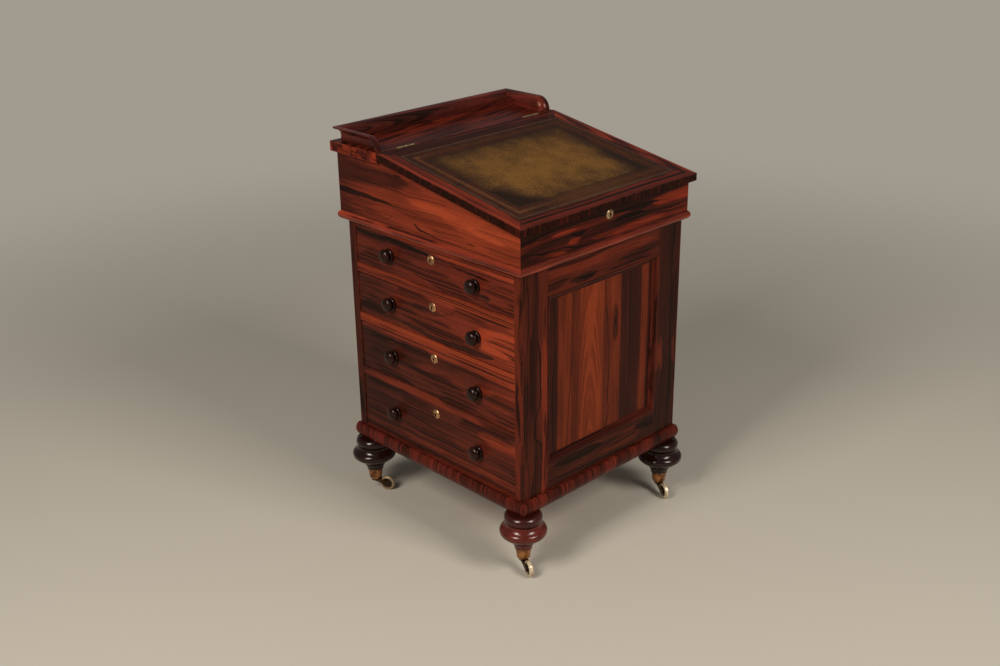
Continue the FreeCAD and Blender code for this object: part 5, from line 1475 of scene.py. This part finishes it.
@dataclass
class WritingSlope:
    """The hinged lid board with its let-in hide and its tooled border.

    The insets are metres in from the hide's edge. From the middle the hide goes from golden
    over field to shade; blind, gilt and outer_line are the colours of its three tooled lines.
    """

    half_width: float = 0.274
    length: float = 0.4338
    side_margin: float = 0.031
    end_margin: float = 0.034
    sink: float = 0.0002
    strip_depth: float = 0.006
    edge_depth: float = 0.0008
    edge_light: float = 0.76
    joint_depth: float = 0.8
    joint_line: float = 0.0006
    block: float = 0.021
    board_wood: Rosewood = Rosewood(
        light=chart(138, 50, 26), warm=chart(92, 30, 16), dark=chart(42, 14, 7), ring=0.009,
        black=0.14, broad=0.6, heart=(0.25, 0.05), lean=0.02, wander=0.006, seed=19.3,
        gloss=0.26, shine=0.08)
    # The colour of the board's lightened edges: worn polish and a painted highlight.
    rubbed: Colour = chart(104, 46, 31)
    gilt: Colour = chart(136, 88, 52)
    blind: Colour = chart(18, 11, 7)
    border: Colour = chart(60, 28, 12)
    shade: Colour = chart(32, 16, 6)
    field: Colour = chart(80, 51, 21)
    golden: Colour = chart(111, 75, 29)
    shade_to_field: tuple[float, float] = (0.004, 0.100)
    field_to_golden: tuple[float, float] = (0.045, 0.165)
    line_inset: float = 0.0465
    outer_line: Colour = chart(104, 88, 72)
    wave_inset: float = 0.0062
    wave_height: float = 0.0009
    wave_turns: float = 900.0
    tool_inset: float = 0.0272
    tool_width: float = 0.0046
    tool_pitch: float = 0.0044
    roll_gap: float = 0.0012
    roll_reach: float = 0.0009
    leaf_thickness: float = 0.00014

    def slope_axes(self, finish: Finish) -> tuple[Field, Field, Field]:
        """Metres down the slope from the seam, across it, and out of its top."""
        x, y, z = finish.xyz
        cos, sin = math.cos(SLOPE_ANGLE), math.sin(SLOPE_ANGLE)
        down = (y - SEAM.y) * -cos + (z - SEAM.z) * -sin
        out = (y - SEAM.y) * -sin + (z - SEAM.z) * cos
        return down, x, out

    def board(self, nodes: dict) -> None:
        """Polish the board: mitred strips round the hide, a plain underside, banded edges."""
        finish = Finish("slope_rosewood")
        down, x, out = self.slope_axes(finish)
        from_side = self.half_width - x.size()
        from_end = down.least(self.length - down)
        nearest = from_side.least(from_end)
        edge = 1.0 - nearest.above(self.edge_depth)
        top = out.above(-self.strip_depth)
        side = from_end.above(from_side) * edge.most(top)
        run = finish.choose(side, x, down)
        cross = finish.choose(side, down, x)
        lot, joint = banding(finish, run, self.block, side * 23.0, 0.04)
        along = finish.choose(edge, run, out)
        across = finish.choose(edge, cross, run)
        left = 1.0 - x.above(0.0)
        strip_tone = finish.choose(side, down.rise(0.1, 0.3) * 0.12 + 0.22, left * -0.08 + 0.68)
        tone = finish.choose(edge, strip_tone, lot * 0.10 + 0.10)
        shift = side + edge * lot * BLOCK_SPREAD + left * side * 3.0
        colour, relief = self.board_wood.figure(finish, along, across, out, shift, tone=tone)
        colour = finish.dim(colour, finish.choose(edge, 1.0, self.edge_light))
        mitre = edge_line(from_end - from_side, self.joint_line) * (1.0 - edge) * top
        colour = finish.paint(mitre.most(joint * edge) * self.joint_depth, colour,
                              self.board_wood.ink)
        # Lighter here and there along the board's edges: worn polish and a painted highlight.
        colour = rub_and_highlight_edge(finish, colour, nearest.most(out.size()), self.rubbed)
        dress(nodes["slope_board"], self.board_wood.polish(finish, colour, relief))

    def dye(self, finish: Finish, down: Field, x: Field, inset: Field,
            wear: HideWear) -> bpy.types.NodeSocket:
        """The hide's dye: golden in the middle, dark to its border and its front corners.

        Args:
            finish: the node tree.
            down: metres down the slope from the seam.
            x: metres across it.
            inset: metres in from the hide's nearest edge.
            wear: how the place has fared.

        Returns:
            The colour.
        """
        mottle, speck = wear.mottle, wear.speck
        kept = inset * 0.9 + wear.drift.swing(0.05) + mottle.swing(0.035) + speck.swing(0.030) \
            - wear.left * wear.front * 0.150 - wear.right * 0.080 \
            + wear.front * (1.0 - wear.left) * 0.020
        colour = finish.paint(kept.rise(*self.shade_to_field), self.shade, self.field)
        heart = kept + mottle.swing(0.06) + speck.swing(0.05) + down * 0.06
        colour = finish.paint(heart.rise(*self.field_to_golden) * 0.9, colour, self.golden)
        spots = (mottle * 0.45 + speck * 0.55).rise(0.34, 0.58)
        colour = finish.paint(spots * 0.55 + 0.45, self.shade, colour)
        rim_tone = (speck * 0.5 + mottle * 0.5).rise(0.34, 0.60)
        rim = finish.paint(rim_tone, self.shade, self.border)
        middle_front = wear.front * (1.0 - x.size().rise(0.05, 0.16))
        rim = finish.paint(middle_front * 0.35, rim, self.field)
        inner = inset.rise(self.line_inset - 0.0010, self.line_inset + 0.0005)
        return finish.paint(inner, rim, colour)

    def hide(self, nodes: dict) -> None:
        """Dye the hide, rule its lines and roll its wavy edge."""
        finish = Finish("writing_hide")
        down, x, out = self.slope_axes(finish)
        inset_x = self.half_width - self.side_margin - x.size()
        inset_y = (down - self.end_margin).least(self.length - self.end_margin - down)
        inset = inset_x.least(inset_y)
        flat = (x, down, 0.0)
        wear = HideWear(mottle=HIDE_MOTTLE.lay(finish, flat, (0.0, 0.0, 0.3)),
                        drift=HIDE_DRIFT.lay(finish, flat, (0.0, 0.0, 4.0)),
                        speck=HIDE_SPECK.lay(finish, flat, (0.0, 0.0, 1.0)),
                        left=(x * -1.0).rise(0.10, 0.22), front=down.rise(0.24, 0.36),
                        right=x.rise(0.13, 0.21) * down.rise(0.16, 0.34))
        colour = self.dye(finish, down, x, inset, wear)

        line = inset.near(self.line_inset, 0.0016)
        colour = finish.paint(line * 0.8, colour, self.blind)
        rubbed = (wear.drift * 0.6 + wear.speck * 0.4).rise(0.30, 0.56)
        bright = (x * -1.0).rise(0.19, 0.212).most(wear.front * wear.left) * 0.55 + 0.22
        half = self.tool_width / 2 + self.roll_gap
        roll = inset.near(self.tool_inset - half, self.roll_reach).most(
            inset.near(self.tool_inset + half, self.roll_reach))
        colour = finish.paint(roll * (rubbed * 0.5 + 0.4) * bright, colour, self.gilt)
        between = inset.near(self.tool_inset, 0.0045)
        colour = finish.paint(between * bright * 0.35, colour, self.gilt)
        wave = finish.number("SINE", (x + down) * self.wave_turns)
        outer = inset.near(wave * self.wave_height + self.wave_inset, 0.0015)
        colour = finish.paint(outer * 0.5, colour, self.outer_line)
        dent = line.most(roll).most(outer)
        grain = HIDE_GRAIN.lay(finish, (x, down, out))
        relief = grain * 0.35 + (1.0 - dent) * 0.65
        material = finish.close(colour, wear.mottle.swing(0.25) + 0.50, relief, TOOLING_DEPTH,
                                Specular_IOR_Level=0.15)
        dress(nodes["slope_leather"], material)

    def gilt_leaf(self) -> bpy.types.Material:
        """Old gold leaf, rubbed away unevenly."""
        finish = Finish("old_gilt")
        down, x, out = self.slope_axes(finish)
        luck = finish.cloud(x * 60.0, down * 60.0, out, detail=3.0).rise(0.42, 0.62)
        bright = (x * -1.0).rise(0.19, 0.21) * 0.5 + 0.30
        colour = finish.paint(luck * bright + 0.10, self.border, self.gilt)
        return finish.close(colour, luck * -0.15 + 0.5, Metallic=0.35)

    def tooling(self) -> None:
        """Press a running pattern of paired leaves and dots between the two gilt lines."""
        tree = Repeat("gilt_roll")
        width = tree.size("Path width", 0.4)
        height = tree.size("Path height", 0.3)
        pitch = tree.size("Pitch", self.tool_pitch)
        leaf = tree.size("Leaf size", self.tool_width * 0.36)
        thick = tree.size("Leaf thickness", self.leaf_thickness)
        path = tree.node("GeometryNodeCurvePrimitiveQuadrilateral",
                         {"Width": width, "Height": height})
        rounded = tree.node("GeometryNodeFilletCurve", {
            "Curve": path.outputs[0], "Radius": 0.006, "Count": 6}, mode="POLY")
        spots = tree.node("GeometryNodeCurveToPoints", {
            "Curve": rounded.outputs[0], "Length": pitch}, mode="LENGTH")
        disc = tree.node("GeometryNodeMeshCylinder",
                         {"Vertices": 6, "Radius": leaf, "Depth": thick})
        joined = tree.node("GeometryNodeJoinGeometry")
        stamps = [((0, side * 0.0011, 0), side * 0.75, (0.95, 0.42, 1.0)) for side in (1, -1)]
        stamps.append(((0.0022, 0, 0), 0.0, (0.40, 0.40, 1.0)))
        for place, turn, stretch in stamps:
            stamp = tree.node("GeometryNodeTransform", {
                "Geometry": disc.outputs["Mesh"], "Translation": place,
                "Rotation": (0, 0, turn), "Scale": stretch})
            tree.group.links.new(stamp.outputs[0], joined.inputs[0])
        leaves = tree.node("GeometryNodeInstanceOnPoints", {
            "Points": spots.outputs["Points"], "Instance": joined.outputs[0],
            "Rotation": spots.outputs["Rotation"]})
        material = self.gilt_leaf()
        tree.finish(leaves.outputs[0], material)
        flat = Matrix.Translation(SEAM) @ Matrix.Rotation(SLOPE_ANGLE, 4, "X") \
            @ Matrix.Translation((0.0, -self.length / 2, -self.sink))
        sizes = {"Path width": 2 * (self.half_width - self.side_margin - self.tool_inset),
                 "Path height": self.length - 2 * (self.end_margin + self.tool_inset)}
        piece = tree.grow("gilt_tooling", bpy.data.meshes.new("gilt_seed"), sizes, material, flat)
        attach(piece, "slope")

    def make(self, nodes: dict) -> None:
        """Dress the slope and tool its hide."""
        self.board(nodes)
        self.hide(nodes)
        self.tooling()
        brass = replace(DESK_BRASS, seed=4.0).material("slope_brass")
        for name in ("slope_hinge_leaves", "slope_catch_plate"):
            dress(nodes[name], brass)
        LOG.info("writing slope: board, tooled hide and brass dressed")


@dataclass(frozen=True)
class Screw:
    """One slotted screw head: where it sits, the way it faces, its size and its slot's turn."""

    place: Vector
    facing: Vector
    radius: float
    height: float
    turn: float


@dataclass
class Screws:
    """The slotted screws of the locks, hinges, catch plate and caster cups."""

    lock_radius: float = 0.0026
    hinge_radius: float = 0.0022
    cup_radius: float = 0.0024
    raised: float = 0.0007
    flush: float = 0.0001
    lock_turn: float = 0.8
    hinge_turns: tuple[float, ...] = (0.5, 1.4, 2.3)
    lock_inset: float = 0.0055
    hinge_spread: tuple[float, ...] = (-0.017, 0.0, 0.017)
    hinge_half_spacing: float = 0.192
    hinge_drop: float = 0.0088
    seam_half_gap: float = 0.00015
    catch_half_spacing: float = 0.022
    catch_half_thickness: float = 0.00075
    catch_raised: float = 0.0003
    catch_turn: float = 0.6
    cup_height: float = 0.0485
    cup_surface: float = 0.0166
    cup_turns: tuple[float, ...] = (2.2, -2.05, 0.7, 2.9)

    def tree(self, material: bpy.types.Material) -> Repeat:
        """The node tree that sets a slotted head on each point."""
        tree = Repeat("slotted_screws")
        slot_width = tree.size("Slot width", 0.30)
        slot_depth = tree.size("Slot depth", 1.3)
        taper = tree.size("Top radius", 0.72)
        head = tree.node("GeometryNodeMeshCone", {
            "Vertices": 20, "Radius Top": taper, "Radius Bottom": 1.0, "Depth": 1.0})
        size = tree.node("ShaderNodeCombineXYZ", {"X": 3.0, "Y": slot_width, "Z": slot_depth})
        bar = tree.node("GeometryNodeMeshCube", {"Size": size.outputs[0]})
        raised = tree.node("GeometryNodeTransform", {"Geometry": bar.outputs[0],
                                                     "Translation": (0, 0, 1.0)})
        cut = tree.node("GeometryNodeMeshBoolean", {"Mesh 1": head.outputs["Mesh"]},
                        operation="DIFFERENCE")
        tree.group.links.new(raised.outputs[0], cut.inputs["Mesh 2"])
        tilt = tree.node("GeometryNodeInputNamedAttribute", {"Name": "tilt"},
                         data_type="FLOAT_VECTOR")
        girth = tree.node("GeometryNodeInputNamedAttribute", {"Name": "girth"},
                          data_type="FLOAT_VECTOR")
        turned = tree.node("FunctionNodeEulerToRotation", {0: tilt.outputs[0]})
        heads = tree.node("GeometryNodeInstanceOnPoints", {
            "Points": tree.start.outputs["Geometry"], "Instance": cut.outputs[0],
            "Rotation": turned.outputs[0], "Scale": girth.outputs[0]})
        tree.finish(heads.outputs[0], material)
        return tree

    def lock_screws(self, node: str, facing: Vector) -> list[Screw]:
        """Four screws in the corners of a lock's plate.

        Args:
            node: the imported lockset, whose widest part is the plate.
            facing: the way that the plate's back looks.

        Returns:
            The screws.
        """
        low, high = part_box(node)
        screws = []
        for number, (across, up) in enumerate(((0, 0), (1, 0), (0, 1), (1, 1))):
            z = high.z - self.lock_inset if up else low.z + self.lock_inset
            if facing.x:
                side = high.y - self.lock_inset if across else low.y + self.lock_inset
                place = Vector((high.x, side, z))
            else:
                side = high.x - self.lock_inset if across else low.x + self.lock_inset
                place = Vector((side, high.y, z))
            screws.append(Screw(place, facing, self.lock_radius, self.raised,
                                self.lock_turn * number))
        return screws

    def hinge_screws(self, side: float) -> list[Screw]:
        """Three screws in each leaf that lies on one side of the seam: 1 behind, -1 before."""
        screws = []
        facing = Vector((0.0, -side, 0.0))
        y = SEAM.y + side * self.seam_half_gap
        for hand in (-1, 1):
            for spread, turn in zip(self.hinge_spread, self.hinge_turns):
                place = Vector((hand * self.hinge_half_spacing + spread, y,
                                SEAM.z - self.hinge_drop))
                screws.append(Screw(place, facing, self.hinge_radius, self.flush, turn))
        return screws

    def catch_screws(self) -> list[Screw]:
        """Two screws in the catch plate, which look down out of the slope."""
        low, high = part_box("slope_catch_plate")
        down = Vector((0.0, math.sin(SLOPE_ANGLE), -math.cos(SLOPE_ANGLE)))
        middle = (low + high) / 2 + down * self.catch_half_thickness
        return [Screw(middle + Vector((side * self.catch_half_spacing, 0, 0)), down,
                      self.hinge_radius, self.catch_raised, side * self.catch_turn)
                for side in (-1, 1)]

    def cup_screws(self) -> list[Screw]:
        """One screw high on each caster cup."""
        screws = []
        corners = ((-1, -1), (1, -1), (-1, 1), (1, 1))
        for turn, (across, back) in zip(self.cup_turns, corners):
            facing = Vector((math.cos(turn), math.sin(turn), 0.0))
            middle = Vector((across * FOOT_X, back * FOOT_Y, self.cup_height))
            screws.append(Screw(middle + facing * self.cup_surface, facing, self.cup_radius,
                                self.raised, turn))
        return screws

    def set_in(self, tree: Repeat, body: str, screws: list[Screw],
               material: bpy.types.Material) -> None:
        """Set one body's screws as one piece.

        Args:
            tree: the node tree of the heads.
            body: what they ride on.
            screws: the screws.
            material: their metal.
        """
        mesh = bpy.data.meshes.new(f"screw_places_{body}")
        mesh.from_pydata([tuple(screw.place) for screw in screws], [], [])
        tilt = mesh.attributes.new("tilt", "FLOAT_VECTOR", "POINT")
        girth = mesh.attributes.new("girth", "FLOAT_VECTOR", "POINT")
        for index, screw in enumerate(screws):
            turn = screw.facing.to_track_quat("Z", "Y") @ Quaternion((0, 0, 1), screw.turn)
            tilt.data[index].vector = tuple(turn.to_euler("XYZ"))
            girth.data[index].vector = (screw.radius, screw.radius, screw.height)
        piece = tree.grow(f"screws_{body}", mesh, {}, material)
        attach(piece, body)

    def make(self) -> None:
        """Drive every screw."""
        steel = Brass(bright=chart(150, 122, 92), dull=chart(92, 70, 50), wear=0.50, gloss=0.38,
                      seed=9.0).material("screw_brass")
        tree = self.tree(steel)
        for number in DRAWERS:
            name = f"drawer_{number}"
            self.set_in(tree, name, self.lock_screws(f"{name}_lockset", Vector((1, 0, 0))), steel)
        desk = self.lock_screws("desk_lockset", Vector((0, 1, 0))) + self.hinge_screws(1.0)
        self.set_in(tree, "desk", desk, steel)
        self.set_in(tree, "slope", self.hinge_screws(-1.0) + self.catch_screws(), steel)
        self.set_in(tree, "pedestal", self.cup_screws(), steel)
        LOG.info("screws: seven sets driven")


@dataclass(frozen=True)
class Lamp:
    """One soft box: its name, where it hangs and its power in watts."""

    name: str
    place: tuple[float, float, float]
    power: float


@dataclass
class Studio:
    """The floor, the two soft lamps, the fill light and the camera."""

    eye: Vector = field(default_factory=lambda: Vector((-1.88396, -1.88869, 1.54690)))
    ahead: Vector = field(default_factory=lambda: Vector((0.64149777, 0.6602918, -0.39050652)))
    right: Vector = field(default_factory=lambda: Vector((0.71329435, -0.70074206, -0.01310477)))
    above: Vector = field(default_factory=lambda: Vector((0.28229732, 0.27013942, 0.92050688)))
    lens: float = 45.09
    floor_size: float = 40.0
    floor_colour: Colour = chart(184, 175, 160)
    far_colour: Colour = chart(162, 155, 144)
    backdrop: tuple[float, float] = (0.9, 3.4)
    sensor: float = 36.0
    sight: float = 200.0
    fill: float = 0.15
    fill_colour: Colour = (0.96, 0.98, 1.0)
    lamps: tuple[Lamp, ...] = (Lamp("left_soft_box", (-2.9, -0.3, 2.6), 100.0),
                               Lamp("right_soft_box", (0.2, -3.0, 2.5), 86.0))
    lamp_size: tuple[float, float] = (1.1, 1.6)
    lamp_colour: Colour = (1.0, 0.97, 0.93)
    lamp_target: tuple[float, float, float] = (0.0, 0.0, 0.5)

    def floor(self) -> None:
        """Lay the pale floor, which far away runs into an even backdrop."""
        mesh = bpy.data.meshes.new("studio_floor")
        half = self.floor_size / 2
        mesh.from_pydata([(-half, -half, 0), (half, -half, 0), (half, half, 0), (-half, half, 0)],
                         [], [(0, 1, 2, 3)])
        floor = bpy.data.objects.new("studio_floor", mesh)
        bpy.context.scene.collection.objects.link(floor)
        finish = Finish("studio_floor")
        x, y, _ = finish.xyz
        far = finish.number("SQRT", x * x + y * y).rise(*self.backdrop)
        nodes, links = finish.tree.nodes, finish.tree.links
        seen = nodes.new("ShaderNodeLightPath")
        rays = Field(finish, seen.outputs["Is Camera Ray"]).most(
            Field(finish, seen.outputs["Is Glossy Ray"])).most(
            Field(finish, seen.outputs["Is Transmission Ray"]))
        material = finish.close(self.floor_colour, 0.85, Specular_IOR_Level=0.1)
        output = next(node for node in nodes if node.bl_idname == "ShaderNodeOutputMaterial")
        lit = output.inputs["Surface"].links[0].from_socket
        even = nodes.new("ShaderNodeEmission")
        even.inputs["Color"].default_value = (*self.far_colour, 1.0)
        mix = nodes.new("ShaderNodeMixShader")
        finish.feed(mix.inputs[0], far * rays)
        links.new(lit, mix.inputs[1])
        links.new(even.outputs[0], mix.inputs[2])
        links.new(mix.outputs[0], output.inputs["Surface"])
        mesh.materials.append(material)

    def hang(self, lamp: Lamp) -> None:
        """Hang one soft box, turned to the desk."""
        data = bpy.data.lights.new(lamp.name, "AREA")
        data.shape = "RECTANGLE"
        data.size, data.size_y = self.lamp_size
        data.energy = lamp.power
        data.color = self.lamp_colour
        box = bpy.data.objects.new(lamp.name, data)
        bpy.context.scene.collection.objects.link(box)
        box.location = lamp.place
        aim = Vector(self.lamp_target) - Vector(lamp.place)
        box.rotation_euler = aim.to_track_quat("-Z", "Y").to_euler()

    def air(self) -> None:
        """Fill the room with a weak even light, before a wall as pale as the far floor."""
        world = bpy.data.worlds.new("studio_air")
        world.use_nodes = True
        nodes, links = world.node_tree.nodes, world.node_tree.links
        fill = nodes["Background"]
        fill.inputs["Color"].default_value = (*self.fill_colour, 1.0)
        fill.inputs["Strength"].default_value = self.fill
        wall = nodes.new("ShaderNodeBackground")
        wall.inputs["Color"].default_value = (*self.far_colour, 1.0)
        seen = nodes.new("ShaderNodeLightPath")
        mix = nodes.new("ShaderNodeMixShader")
        links.new(seen.outputs["Is Camera Ray"], mix.inputs[0])
        links.new(fill.outputs[0], mix.inputs[1])
        links.new(wall.outputs[0], mix.inputs[2])
        links.new(mix.outputs[0], nodes["World Output"].inputs["Surface"])
        bpy.context.scene.world = world

    def camera(self) -> None:
        """Stand the camera a little above the slope, looking at the drawers' corner."""
        data = bpy.data.cameras.new("camera")
        data.sensor_fit = "HORIZONTAL"
        data.sensor_width = self.sensor
        data.lens = self.lens
        data.clip_end = self.sight
        camera = bpy.data.objects.new("camera", data)
        bpy.context.scene.collection.objects.link(camera)
        turn = Matrix((self.right, self.above, -self.ahead)).transposed().to_4x4()
        camera.matrix_world = Matrix.Translation(self.eye) @ turn
        bpy.context.scene.camera = camera

    def make(self) -> None:
        """Set up the studio."""
        self.floor()
        for lamp in self.lamps:
            self.hang(lamp)
        self.air()
        self.camera()
        bpy.context.scene.view_settings.view_transform = "Standard"
        LOG.info("studio: floor, two lamps, fill and camera set")


def main() -> None:
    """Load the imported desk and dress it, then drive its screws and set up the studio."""
    logging.basicConfig(level=logging.INFO, format="%(name)s: %(message)s")
    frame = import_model()
    nodes = frame["nodes"]
    for part in (Pedestal(), DrawerStack(), TurnedFeet(), Casters(), DeskBox(), WritingSlope()):
        part.make(nodes)
    Screws().make()
    Studio().make()


if __name__ == "__main__":
    main()
